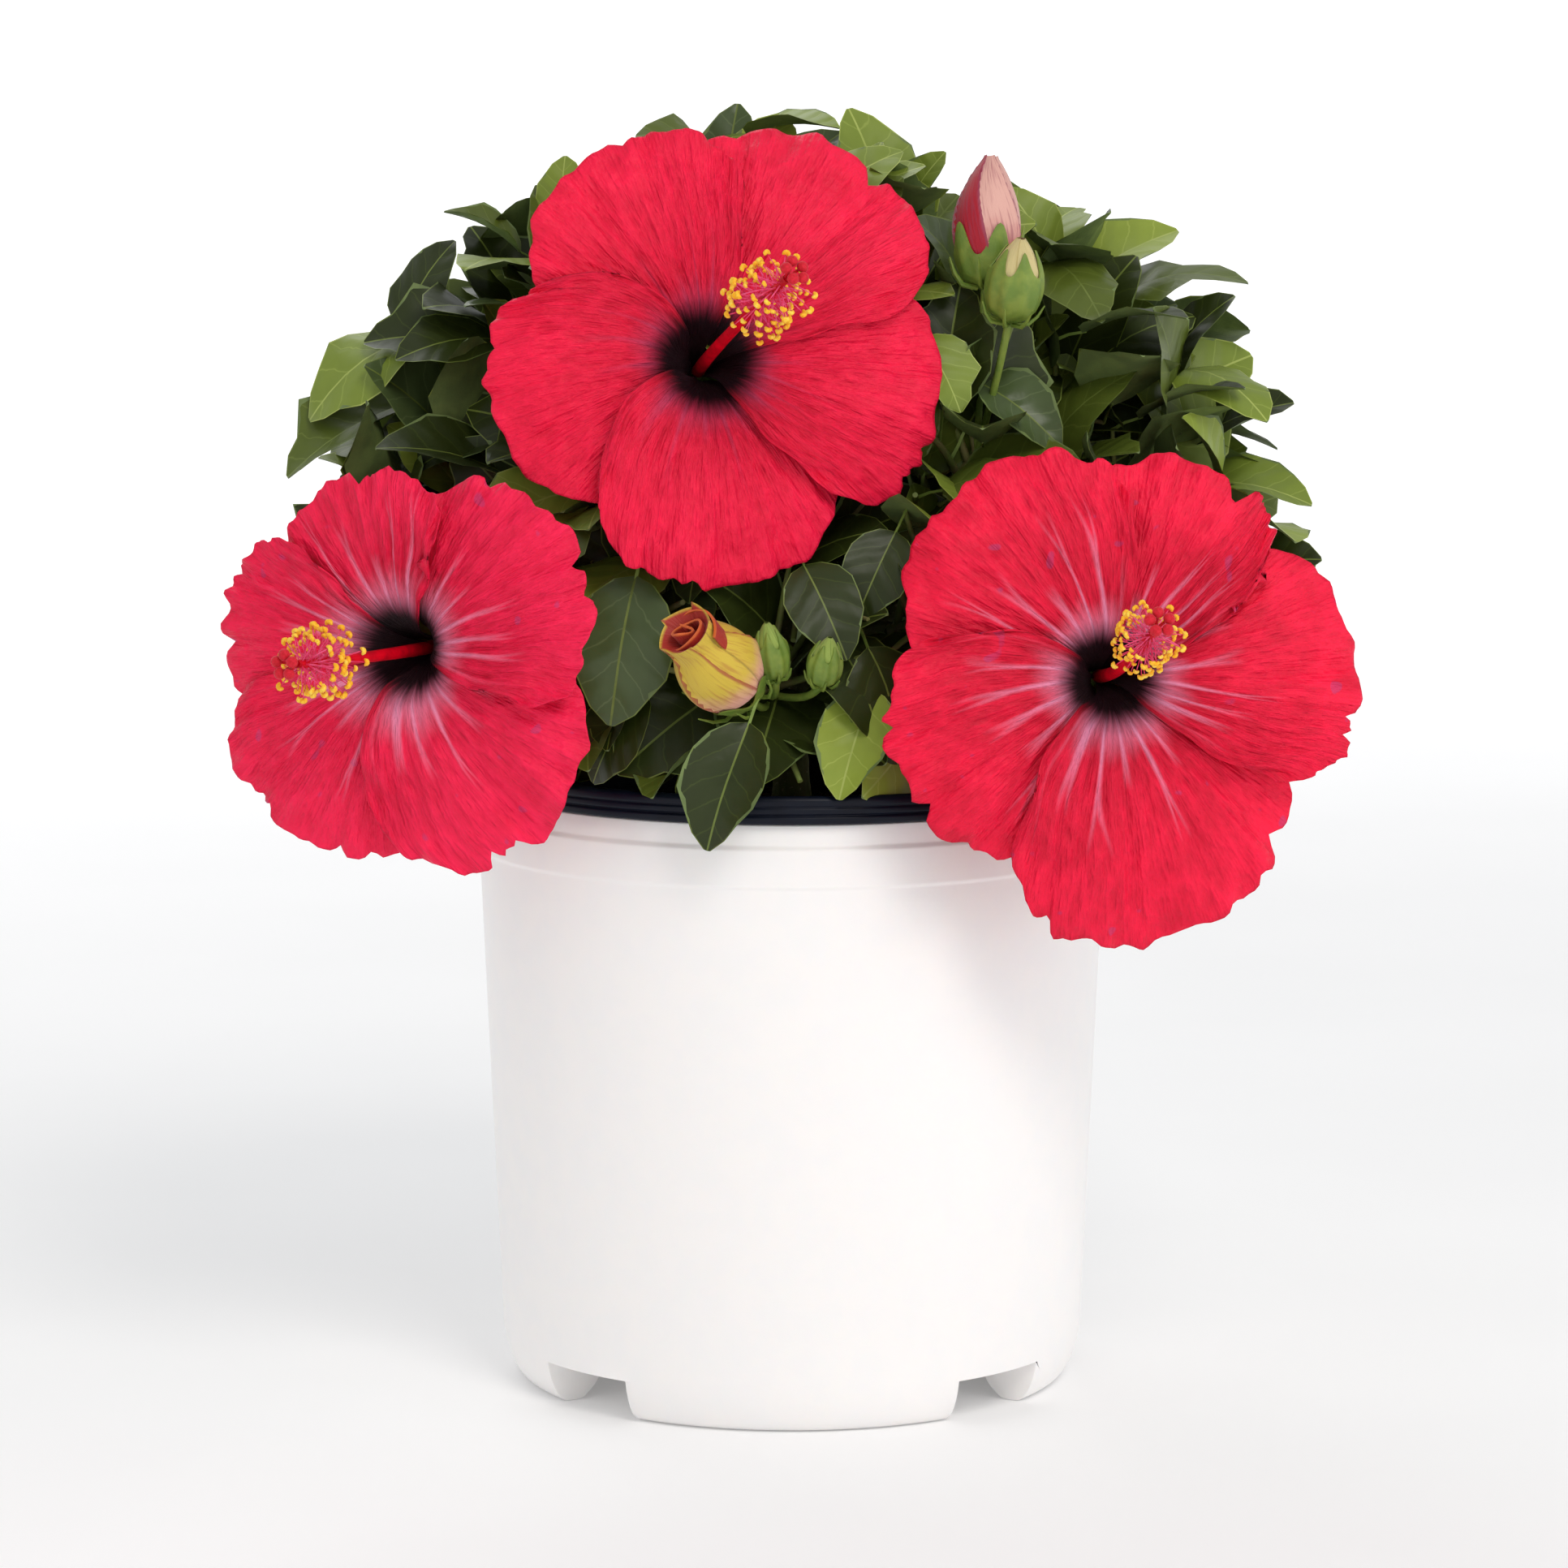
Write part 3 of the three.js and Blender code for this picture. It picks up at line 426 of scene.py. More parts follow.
def add_node(tree: Tree, kind: str, inputs: Inputs = (), **settings: Any) -> Socket | None:
    """Adds a node to a tree with its settings and links.

    Args:
        tree: the tree that it goes into.
        kind: the node's type.
        inputs: what its inputs get, as wire takes it.
        settings: the node's own properties.

    Returns:
        Its first output that is in use, or None if it has none.
    """
    made = tree.nodes.new(kind)
    for name, value in settings.items():
        setattr(made, name, value)
    wire(made, inputs)
    return next((output for output in made.outputs if output.enabled), None)


MATH, RANGE, MIX, NOISE = "ShaderNodeMath", "ShaderNodeMapRange", "ShaderNodeMix", "ShaderNodeTexNoise"
BUMP, MAPPING, SPLIT = "ShaderNodeBump", "ShaderNodeMapping", "ShaderNodeSeparateXYZ"
TIMES, TIMES_PLUS, NEAREST = ({"operation": name} for name in ("MULTIPLY", "MULTIPLY_ADD", "PINGPONG"))
SMOOTH = {"interpolation_type": "SMOOTHSTEP"}
RGBA = {"data_type": "RGBA"}


@dataclass(frozen=True)
class Finish:
    """What every finish has: a name and its plain shader values."""

    name: str
    roughness: float = 0.5
    ior: float = 1.4

    def made(self) -> Material:
        """Makes the material.

        Returns:
            The material, with its nodes.
        """
        material = bpy.data.materials.new(self.name)
        material.use_nodes = True
        tree = material.node_tree
        plain = {"Roughness": self.roughness, "IOR": self.ior}
        wire(tree.nodes["Principled BSDF"], {**plain, **self.paint(tree)})
        return material

    def paint(self, tree: Tree) -> dict[str, Any]:
        """Draws the finish's patterns.

        Args:
            tree: the material's tree.

        Returns:
            What the shader gets: the patterns, and the plain values that set the finish apart.
        """
        raise NotImplementedError

    @staticmethod
    def fibres(tree: Tree, place: Socket, stretch: Triple, detail: float,
               scale: float = 1.0) -> Socket:
        """A noise on any coordinates, squeezed along each axis and with some finer layers."""
        squeezed = add_node(tree, MAPPING, {"Vector": place, "Scale": stretch})
        return add_node(tree, NOISE, {"Vector": squeezed, "Scale": scale, "Detail": detail})

    def speckle(self, tree: Tree, size: float, detail: float = 3.0,
                stretch: Triple = (1.0, 1.0, 1.0)) -> Socket:
        """A noise on the object's own coordinates, with specks of a size in millimetres."""
        place = add_node(tree, "ShaderNodeTexCoord").node.outputs["Object"]
        return self.fibres(tree, place, stretch, detail, 1 / (size * MM))

    @staticmethod
    def layered(tree: Tree, skin: Socket | str,
                layers: Sequence[tuple[Socket, str]]) -> Socket:
        """A skin with colours laid over it, each by its own share.

        Args:
            tree: the material's tree.
            skin: what they lie on.
            layers: the share and the colour of each.

        Returns:
            The colour of all of them.
        """
        for share, colour in layers:
            skin = add_node(tree, MIX, (share, skin, colour), **RGBA)
        return skin


@dataclass(frozen=True)
class MottledFinish(Finish):
    """A surface whose colour wanders between two tones over a fine relief."""

    tone: str = "#808080"
    other: str = "#909090"
    patch: float = 8.0  # size of a patch of colour, in millimetres
    grain: float = 1.0  # size of the relief
    relief: float = 0.1  # its height
    shine_spread: float = 0.06
    glow: float = 0.0  # how much light passes into it
    velvet: float = 0.0
    shine: float = 0.5  # the strength of its plain reflection

    def paint(self, tree: Tree) -> dict[str, Any]:
        """The two tones, the spread of the gloss and the relief.

        Args:
            tree: the material's tree.

        Returns:
            What the shader gets.
        """
        share = add_node(tree, RANGE, (self.speckle(tree, self.patch), 0.35, 0.65), **SMOOTH)
        grain = self.speckle(tree, self.grain, 4.0)
        gloss = (self.roughness - self.shine_spread, self.roughness + self.shine_spread)
        return {
            "Base Color": self.layered(tree, self.tone, [(share, self.other)]),
            "Roughness": add_node(tree, RANGE, (grain, 0.0, 1.0, *gloss)),
            "Normal": add_node(tree, BUMP, {"Height": grain, "Distance": self.relief * MM, "Strength": 1.0}),
            "Subsurface Weight": self.glow, "Subsurface Radius": (1.0, 0.4, 0.2), "Subsurface Scale": 2 * MM,
            "Sheen Weight": self.velvet, "Sheen Roughness": 0.4, "Specular IOR Level": self.shine,
        }


@dataclass(frozen=True)
class BarkFinish(Finish):
    """Young hibiscus bark: grown smooth and green-brown, with pale lenticels and fine lengthwise cracks."""

    wood: str = "#6d6440"
    green: str = "#6f7d3a"
    pale: str = "#9a936c"

    def paint(self, tree: Tree) -> dict[str, Any]:
        """Patches of green over the wood, pale dots and cracks.

        Args:
            tree: the material's tree.

        Returns:
            What the shader gets.
        """
        is_dot = add_node(tree, RANGE, (self.speckle(tree, 1.3, 1.0), 0.66, 0.74), **SMOOTH)
        cracks = self.speckle(tree, 1.6, 5.0, (1.0, 1.0, 0.3))
        return {
            "Base Color": self.layered(tree, self.wood, [(self.speckle(tree, 9.0), self.green),
                                                         (is_dot, self.pale)]),
            "Normal": add_node(tree, BUMP, {"Height": cracks, "Distance": 0.5 * MM, "Strength": 0.8}),
        }


@dataclass(frozen=True)
class LeafFinish(Finish):
    """The waxy upper side of a hibiscus leaf: glossy, with lighter side veins and a soft quilted relief."""

    tone: str = "#36491d"
    light: str = "#4c5f28"
    vein: str = "#66783a"
    veins: float = 4.5  # side veins on each side of the midrib
    sweep: float = 1.4  # how far forward each one runs, in vein spacings

    def paint(self, tree: Tree) -> dict[str, Any]:
        """The side veins, the colour between them and the relief.

        Args:
            tree: the material's tree.

        Returns:
            What the shader gets.
        """
        add = partial(add_node, tree)
        out, turn = add(SPLIT, (add("ShaderNodeUVMap", uv_map="Surface"),)).node.outputs[:2]
        along = add(MATH, (out, self.veins), **TIMES)
        across = add(MATH, (add(MATH, (turn, 0.5), operation="SUBTRACT"),), operation="ABSOLUTE")
        swept = add(MATH, (across, -2 * self.sweep, along), **TIMES_PLUS)
        patches = self.speckle(tree, 11.0)
        near = add(MATH, (add(MATH, (patches, 0.7, swept), **TIMES_PLUS), 0.5), **NEAREST)
        vein = add(RANGE, (near, 0.0, 0.05, 0.45, 0.0), **SMOOTH)
        quilt = add(RANGE, (near, 0.0, 0.5), **SMOOTH)
        return {
            "Base Color": self.layered(tree, self.tone, [(patches, self.light), (vein, self.vein)]),
            "Normal": add(BUMP, {"Height": quilt, "Distance": 0.6 * MM, "Strength": 0.35}),
            "Specular IOR Level": 0.34,
        }


@dataclass(frozen=True)
class PetalFinish(Finish):
    """A hibiscus petal: crinkled satin crimson with a near-black eye and pale streaks that fan out and fork.

    The fibres of a real petal are finer than the render shows, so they are drawn about 1 mm wide.
    """

    # lit is the crimson of the painted highlight on the crinkles' ridges; deep is that of the painted shade
    # in their furrows, and the tone that the petal darkens to towards the throat
    lit: str = "#f01a44"
    deep: str = "#b00626"
    eye: str = "#190108"
    halo: str = "#f79cc0"
    speck: str = "#8a4a86"
    specks: float = 0.34  # how strongly the few violet specks show
    eye_radius: float = 17.5
    halo_radius: float = 30.0
    halo_strength: float = 0.6
    streaks: float = 7.0  # on each petal, before they fork
    fork: float = 24.0  # the least radius at which one forks
    streak_reach: float = 48.0
    streak_strength: float = 0.85

    def paint(self, tree: Tree) -> dict[str, Any]:
        """The tone, with painted highlight on the crinkles' ridges and painted shade in their furrows, the
        crinkles, the halo, the streaks, the specks and the eye.

        Args:
            tree: the material's tree.

        Returns:
            What the shader gets.
        """
        add = partial(add_node, tree)
        place = add("ShaderNodeUVMap", uv_map="Surface")
        out, turn = add(SPLIT, (place,)).node.outputs[:2]
        radius = add(MATH, (out, 100.0), **TIMES)
        wander = self.fibres(tree, place, (1.5, 8.0, 1.0), 1.0, 0.9)
        feather = self.fibres(tree, place, (1.5, 8.0, 1.0), 3.0, 3.0)
        crinkle = self.fibres(tree, place, (11.0, 30.0, 1.0), 4.0)
        fibre = self.fibres(tree, place, (5.0, 95.0, 1.0), 2.0)
        # The tone follows the crinkles and fibres of the relief as painted shade and highlight: lighter on
        # their ridges and darker in their furrows. It lies over random patches and darkens towards the
        # throat.
        folds = add(RANGE, (crinkle, 0.34, 0.66))
        lit = add(MATH, (folds, 0.5, self.speckle(tree, 22.0, 2.0)), **TIMES_PLUS)
        lit = add(MATH, (fibre, 0.4, lit), **TIMES_PLUS)
        dim = add(RANGE, (radius, 15.0, 70.0, -0.55, -0.15))
        tone = add(MATH, (lit, 0.85, dim), use_clamp=True, **TIMES_PLUS)
        middle = add(RANGE, (add(MATH, (turn, 0.5), **NEAREST), 0.03, 0.16), **SMOOTH)
        halo_end = add(MATH, (wander, 24.0, self.halo_radius - 12.0), **TIMES_PLUS)
        glow = add(RANGE, (radius, self.eye_radius - 2.0, halo_end, self.halo_strength, 0.0), **SMOOTH)
        spot = add(RANGE, (self.speckle(tree, 7.0, 0.0), 0.77, 0.81, 0.0, self.specks), **SMOOTH)
        feathered = add(MATH, (feather, -7.0, radius), **TIMES_PLUS)
        eye = add(RANGE, (feathered, self.eye_radius - 9.0, self.eye_radius + 1.5, 1.0, 0.0), **SMOOTH)
        relief = add(MATH, (fibre, 0.35, crinkle), **TIMES_PLUS)
        return {
            "Base Color": self.layered(tree, self.deep, [
                (tone, self.lit),
                (add(MATH, (glow, middle), **TIMES), self.halo),
                (add(MATH, (self.streak(tree, radius, turn, wander), middle), **TIMES), self.halo),
                (add(MATH, (spot, add(RANGE, (radius, 36.0, 44.0))), **TIMES), self.speck),
                (eye, self.eye)]),
            "Normal": add(BUMP, {"Height": relief, "Distance": 2.8 * MM, "Strength": 1.0}),
            "Specular IOR Level": 0.3, "Sheen Weight": 0.03, "Sheen Roughness": 0.35, "Sheen Tint": "#ffb6c8",
            "Subsurface Weight": 0.12, "Subsurface Radius": (1.0, 0.15, 0.15), "Subsurface Scale": 1.5 * MM,
        }

    def streak(self, tree: Tree, radius: Socket, turn: Socket,
               wander: Socket) -> Socket:
        """The streaks: each leaves the eye broad, forks in two, and fades at a length of its own.

        Args:
            tree: the material's tree.
            radius: how far from the throat, in millimetres.
            turn: the share of the way across the petal.
            wander: a soft noise that bends them.

        Returns:
            How strongly a streak shows, from 0 to 1.
        """
        add = partial(add_node, tree)
        line_at = add(MATH, (turn, self.streaks, wander), **TIMES_PLUS)
        near = add(MATH, (line_at, 0.5), **NEAREST)
        number = add(MATH, (line_at,), operation="ROUND")
        own = add("ShaderNodeTexWhiteNoise", {"W": number}, noise_dimensions="1D")
        parts_at = add(MATH, (own, 18.0, self.fork), **TIMES_PLUS)
        spread = add(RANGE, (radius, parts_at, add(MATH, (parts_at, 45.0)), 0.0, 0.3))
        beside = add(MATH, (add(MATH, (near, spread), operation="SUBTRACT"),), operation="ABSOLUTE")
        width = add(RANGE, (radius, self.eye_radius, self.streak_reach, 0.24, 0.07))
        line = add(RANGE, (beside, 0.0, width, 1.0, 0.0), **SMOOTH)
        reach = add(MATH, (own, self.streak_reach * 0.55, self.streak_reach * 0.75), **TIMES_PLUS)
        fade = add(RANGE, (radius, self.eye_radius, reach, self.streak_strength, 0.0))
        begun = add(RANGE, (radius, self.eye_radius - 8.0, self.eye_radius + 4.0), **SMOOTH)
        return add(MATH, (add(MATH, (line, fade), **TIMES), begun), **TIMES)


@dataclass(frozen=True)
class BudFinish(Finish):
    """The outside of a bud: one tone low down, another above, fine veins, dark folds and a lit inside."""

    low: str = "#e8a99a"
    high: str = "#ccaf3a"
    panel: str = "#c3a136"  # the tone of one of its petals
    lip: str = "#9c3a2c"
    inside: str = "#a3261a"
    veins: float = 0.4
    which: float = 2.0  # the number of the petal with a tone of its own
    roll_edge: str = "#d2632c"

    def paint(self, tree: Tree) -> dict[str, Any]:
        """The tones by height on the bud, the single petal, the veins, the folds and the inside.

        Args:
            tree: the material's tree.

        Returns:
            What the shader gets.
        """
        add = partial(add_node, tree)
        place = add("ShaderNodeUVMap", uv_map="Surface")
        height, spiral = add(SPLIT, (place,)).node.outputs[:2]
        uneven = add(MATH, (self.speckle(tree, 7.0), 0.3, height), **TIMES_PLUS)
        number = add(MATH, (add(MATH, (spiral, 5.0), operation="MODULO"),), operation="FLOOR")
        fibre = self.fibres(tree, place, (4.0, 14.0, 1.0), 3.0)
        fold = add(MATH, (spiral,), operation="FRACT")
        return {
            "Base Color": self.layered(tree, self.low, [
                (add(RANGE, (uneven, 0.3, 0.68), **SMOOTH), self.high),
                (add(MATH, (number, self.which, 0.4), operation="COMPARE"), self.panel),
                (add(RANGE, (fibre, 0.5, 0.68, 0.0, self.veins)), self.lip),
                (add(RANGE, (fold, 0.9, 0.98, 0.0, 0.8), **SMOOTH), self.lip),
                (add(RANGE, (height, 0.985, 1.02), **SMOOTH), self.inside),
                (add(RANGE, (height, 1.9, 2.0), **SMOOTH), self.roll_edge)]),
            "Normal": add(BUMP, {"Height": fibre, "Distance": 0.5 * MM, "Strength": 0.7}),
            "Sheen Weight": 0.1,
        }


@dataclass(frozen=True)
class Spot:
    """Where one copy of a shape stands: its root, its direction, its upper side and its size."""

    root: Vector
    way: Vector
    normal: Vector
    size: float
    shape: int = 0
    tint: int = 0

    def turn(self) -> Quaternion:
        """The turn that takes X to its direction and Z to its upper side."""
        up = (self.normal - self.way * self.normal.dot(self.way)).normalized()
        return Matrix((self.way, up.cross(self.way), up)).transposed().to_quaternion()


@dataclass(frozen=True)
class Coat:
    """The material of one part of a scattered shape, and the tint of copy that it belongs to."""

    material: Material
    part: int
    tint: int | None = None


class Scatter:
    """Copies of a few shapes set out on points by Geometry Nodes and made one plain mesh."""

    def __init__(self, name: str, shapes: Sequence[Piece], coats: Sequence[Coat]) -> None:
        """Gathers the shapes, writes each face's material number as its part, and builds the tree.

        Args:
            name: what is being scattered.
            shapes: the shapes to copy.
            coats: the material of each part.
        """
        self.shapes = bpy.data.collections.new(name + "_shapes")
        for shape in shapes:
            numbers = np.zeros(len(shape.data.polygons), np.int32)
            shape.data.polygons.foreach_get("material_index", numbers)
            shape.data.attributes.new("part", "INT", "FACE").data.foreach_set("value", numbers)
            bpy.context.scene.collection.objects.unlink(shape)
            self.shapes.objects.link(shape)
        self.tree = self.wired(name, coats)

    def wired(self, name: str, coats: Sequence[Coat]) -> Tree:
        """The tree: a shape on every point, real faces, then a material for each part.

        Args:
            name: what is being scattered.
            coats: the material of each part.

        Returns:
            The tree.
        """
        tree = bpy.data.node_groups.new(name + "_rule", "GeometryNodeTree")
        add = partial(add_node, tree)
        for socket, way, kind in (("Geometry", "INPUT", "Geometry"), ("Shapes", "INPUT", "Collection"),
                                  ("Size", "INPUT", "Float"), ("Geometry", "OUTPUT", "Geometry")):
            tree.interface.new_socket(socket, in_out=way, socket_type="NodeSocket" + kind)
        given = add("NodeGroupInput").node.outputs
        named = {key: add("GeometryNodeInputNamedAttribute", {"Name": key}, data_type=kind)
                 for key, kind in (("turn", "QUATERNION"), ("size", "FLOAT"), ("shape", "INT"),
                                   ("tint", "INT"), ("part", "INT"))}
        shapes = add("GeometryNodeCollectionInfo", {
            "Collection": given["Shapes"], "Separate Children": True, "Reset Children": True})
        solid = add("GeometryNodeRealizeInstances", {0: add("GeometryNodeInstanceOnPoints", {
            "Points": given["Geometry"], "Instance": shapes, "Pick Instance": True,
            "Instance Index": named["shape"], "Rotation": named["turn"],
            "Scale": add(MATH, (named["size"], given["Size"]), **TIMES)})})
        same = {"data_type": "INT", "operation": "EQUAL"}
        for coat in coats:
            chosen = add("FunctionNodeCompare", {2: named["part"], 3: coat.part}, **same)
            if coat.tint is not None:
                tinted = add("FunctionNodeCompare", {2: named["tint"], 3: coat.tint}, **same)
                chosen = add("FunctionNodeBooleanMath", {0: chosen, 1: tinted}, operation="AND")
            solid = add("GeometryNodeSetMaterial", {
                "Geometry": solid, "Selection": chosen, "Material": coat.material})
        add("NodeGroupOutput", {0: solid})
        return tree

    def spread(self, name: str, spots: Sequence[Spot], size: float = 1.0) -> Piece:
        """Makes one piece of a copy at each spot.

        Args:
            name: the piece's name.
            spots: where the copies stand.
            size: a size that all of them share.

        Returns:
            The piece, a plain mesh with no modifier.
        """
        mesh = bpy.data.meshes.new(name)
        mesh.from_pydata([spot.root * MM for spot in spots], [], [])
        turns = [c for spot in spots for c in spot.turn()]
        mesh.attributes.new("turn", "QUATERNION", "POINT").data.foreach_set("value", turns)
        for key, kind in (("size", "FLOAT"), ("shape", "INT"), ("tint", "INT")):
            values = [getattr(spot, key) for spot in spots]
            mesh.attributes.new(key, kind, "POINT").data.foreach_set("value", values)
        piece = placed(name, mesh)
        modifier = piece.modifiers.new("rule", "NODES")
        modifier.node_group = self.tree
        sockets = {item.name: item.identifier for item in self.tree.interface.items_tree
                   if item.in_out == "INPUT"}
        modifier[sockets["Shapes"]] = self.shapes
        modifier[sockets["Size"]] = size
        plain = evaluated(piece, preserve_all_data_layers=True)
        piece.modifiers.remove(modifier)
        piece.data = plain
        plain.name = name
        bpy.data.meshes.remove(mesh)
        return piece

    def done(self) -> None:
        """Removes the shapes that were copied."""
        for shape in list(self.shapes.objects):
            bpy.data.objects.remove(shape)
        bpy.data.collections.remove(self.shapes)


@dataclass(frozen=True)
class Axes:
    """A place with three directions of its own."""

    at: Vector
    ways: Sequence[Vector]

    def world(self, points: np.ndarray) -> np.ndarray:
        """Points given by these axes, in the shrub's frame."""
        return points @ np.array(self.ways) + np.array(self.at)

    def local(self, points: np.ndarray) -> np.ndarray:
        """Points in the shrub's frame, as these axes see them."""
        return (points - np.array(self.at)) @ np.array(self.ways).T

    def stood(self, body: Body) -> Body:
        """A body made on these axes, in the shrub's frame."""
        return replace(body, points=self.world(body.points))


# White polypropylene, injection moulded and left bare: an even, faintly warm white with a soft sheen.
WHITE = MottledFinish("white_moulded_polypropylene", 0.36, 1.49, "#f8f5f3", "#f6f4f3", patch=12.0, grain=1.4,
                      relief=0.03, shine_spread=0.05, glow=0.06)
# Polypropylene dyed navy all through and moulded: nearly black, with a dull shine along its rolled edges.
NAVY = MottledFinish("navy_moulded_polypropylene", 0.38, 1.49, "#060a18", "#09101f", patch=14.0, grain=1.2,
                     relief=0.03, shine=0.2)
# Composted bark and peat, tipped in and watered level: matt, crumbly and dark brown.
COMPOST = MottledFinish("composted_bark_mix", 0.9, 1.4, "#1f1712", "#33261b", patch=5.0, grain=1.8,
                        relief=0.9)
# Pine bark, shredded along its grain: rough matt chips in four browns.
CHIPS = [MottledFinish(f"pine_bark_chip_{n}", 0.85, 1.4, tone, "#33271c", patch=2.0, grain=0.7, relief=0.3)
         for n, tone in enumerate(("#3c2c1f", "#54402c", "#2a1f17", "#6d583f"))]


@dataclass
class NurseryPot:
    """The white pot on its four arc-shaped feet, its dark liner and rim, and the potting mix in it."""

    sides: int = 168
    wall: float = 2.2
    floor: float = 2.4
    corner: float = 6.0
    foot_radius: float = 98.0
    foot_inner: float = 92.0
    bead_inner: float = 82.0
    floor_height: float = 14.0
    notch_height: float = 15.5
    notch_angle: float = 22.0
    pad_radius: float = 28.0
    base_radius: float = 107.8
    base_height: float = 24.0
    body_top_radius: float = 115.3
    collar_radius: float = 116.0
    collar_height: float = 198.6
    crease_height: float = 213.0
    shell_top: float = 220.4
    rim_radius: float = 117.8
    rim_bottom: float = 220.8
    rim_top: float = 231.0
    rim_inner: float = 112.4
    groove: float = 0.9
    throat: float = 111.2
    neck: float = 225.0
    liner_wall: float = 2.0
    liner_floor: float = 1.8
    soil_top: float = 205.0
    clearance: float = 0.35
    chips: int = 520

    def build(self) -> None:
        """Builds and dresses the shell, the liner, the mix and the chips on it."""
        dressed(self.shell(WHITE.made()), "white_plastic", "pot_shell")
        dressed(self.liner(), "navy_plastic", "pot_liner")
        dressed(self.soil(), "potting_mix", "potting_mix")
        dressed(self.bark(), "potting_mix")

    def shell(self, finish: Material) -> Piece:
        """The pot's wall, floor and feet, with a drain notch between each two feet.

        Args:
            finish: the plastic.

        Returns:
            The piece, with softened edges.
        """
        floor_top = self.floor_height + self.floor
        swell = [(mix(self.foot_radius, self.base_radius, math.sin(a)),
                  self.base_height * (1 - math.cos(a)), 0.0) for a in np.linspace(0, math.pi / 2, 10)]
        outline = rounded([
            (0, 0, 0), (self.pad_radius, 0, 1), (self.pad_radius + 3, 4, 2),
            (self.pad_radius + 5, self.floor_height, 2), (self.bead_inner, self.floor_height, 3),
            (self.bead_inner + 4, 5, 3), (self.foot_inner, 0, 2), *swell,
            (self.body_top_radius, self.collar_height - 1.2, 0.6),
            (self.collar_radius, self.collar_height, 0.6),
            (self.collar_radius, self.crease_height - 1.4, 0.6),
            (self.collar_radius - 1.2, self.crease_height, 0.5),
            (self.collar_radius - 1.5, self.shell_top, 0.6),
            (self.body_top_radius - self.wall, self.shell_top, 0.6),
            (self.base_radius - self.wall, self.base_height, 3),
            (self.base_radius - self.corner, floor_top, 3), (0, floor_top, 0),
        ])
        pot = built("nursery_pot_shell", [finish], [turned(outline, self.sides)])
        cutter = built("notches", [finish], [self.notch(math.radians(45 + 90 * n)) for n in range(4)])
        cut = pot.modifiers.new("notches", "BOOLEAN")
        cut.operation, cut.solver, cut.object = "DIFFERENCE", "EXACT", cutter
        soften = pot.modifiers.new("soft_edges", "BEVEL")
        soften.width, soften.segments = 0.7 * MM, 2
        soften.limit_method, soften.angle_limit = "ANGLE", math.radians(50)
        plain = evaluated(pot)
        pot.modifiers.clear()
        pot.data = plain
        bpy.data.objects.remove(cutter)
        plain.shade_smooth()
        plain.set_sharp_from_angle(angle=math.radians(40))
        return pot

    def notch(self, middle: float) -> Body:
        """The block that cuts one drain notch.

        Args:
            middle: the angle of its middle, in radians.

        Returns:
            The block.
        """
        half, below = math.radians(self.notch_angle / 2), 10.0
        near, far = self.bead_inner - 12, self.base_radius + 22
        outline = [(r * math.cos(middle + a), r * math.sin(middle + a))
                   for r, a in ((near, -half), (far, -half), (far, half), (near, half))]
        points = [(x, y, z) for z in (-below, self.notch_height) for x, y in outline]
        return Body(np.array(points), rolled(2, 4))

    def liner(self) -> Piece:
        """The liner inside the shell, whose ridged rim rolls out over the shell's edge.

        Returns:
            The piece.
        """
        bottom = self.floor_height + self.floor + self.clearance
        low = self.base_radius - self.corner - 2 * self.clearance
        side = self.base_radius - self.wall - 1.5 * self.clearance
        outer = self.body_top_radius - self.wall - self.clearance
        r, z = self.rim_radius, self.rim_bottom
        outline = rounded([
            (0, bottom, 0), (low, bottom, 2), (side, self.base_height + 1, 2), (outer, self.shell_top, 0.1),
            (outer, z, 0.1), (r - 0.9, z, 0.3), (r - 0.3, z + 0.6, 0.3), (r, z + 2.6, 0.4),
            (r - self.groove, z + 3.3, 0.3), (r - 0.1, z + 4.0, 0.3), (r, z + 5.6, 0.4),
            (r - self.groove * 0.7, z + 6.2, 0.3), (r - 0.1, z + 6.8, 0.3), (r, self.rim_top - 1.4, 0.8),
            (r - 1.4, self.rim_top, 0.9), (self.rim_inner, self.rim_top - 0.6, 0.8),
            (self.throat, self.neck, 1.2), (side - self.liner_wall, self.base_height + 2, 2),
            (low - self.liner_wall, bottom + self.liner_floor, 2), (0, bottom + self.liner_floor, 0),
        ], 3)
        return built("pot_liner_rim", [NAVY.made()], [turned(outline, self.sides)], 50)

    def soil(self) -> Piece:
        """The potting mix, level with a gently lumpy top.

        Returns:
            The piece.
        """
        base = self.floor_height + self.floor + 2 * self.clearance + self.liner_floor
        low = self.base_radius - self.corner - self.liner_wall - 4 * self.clearance
        side = self.base_radius - self.wall - self.liner_wall - 3 * self.clearance
        top = self.throat - self.clearance - 1.4
        edge, rings = self.soil_top - 2, 22
        profile = [(0, base), (low, base), (side - 1, self.base_height + 2.5), (top, edge)]
        profile += [(top * (1 - n / rings), mix(edge, self.soil_top, n / rings)) for n in range(1, rings + 1)]
        body = turned(profile, 96)
        for p in body.points:
            if p[2] >= edge - 0.1:
                clear = float(ease(14.0, 24.0, math.hypot(p[0], p[1])))
                p[2] += clear * 2.2 * noise.fractal(Vector(p) / 11, 1.0, 2.0, 3) - 0.6
        return built("potting_mix_fill", [COMPOST.made()], [body])

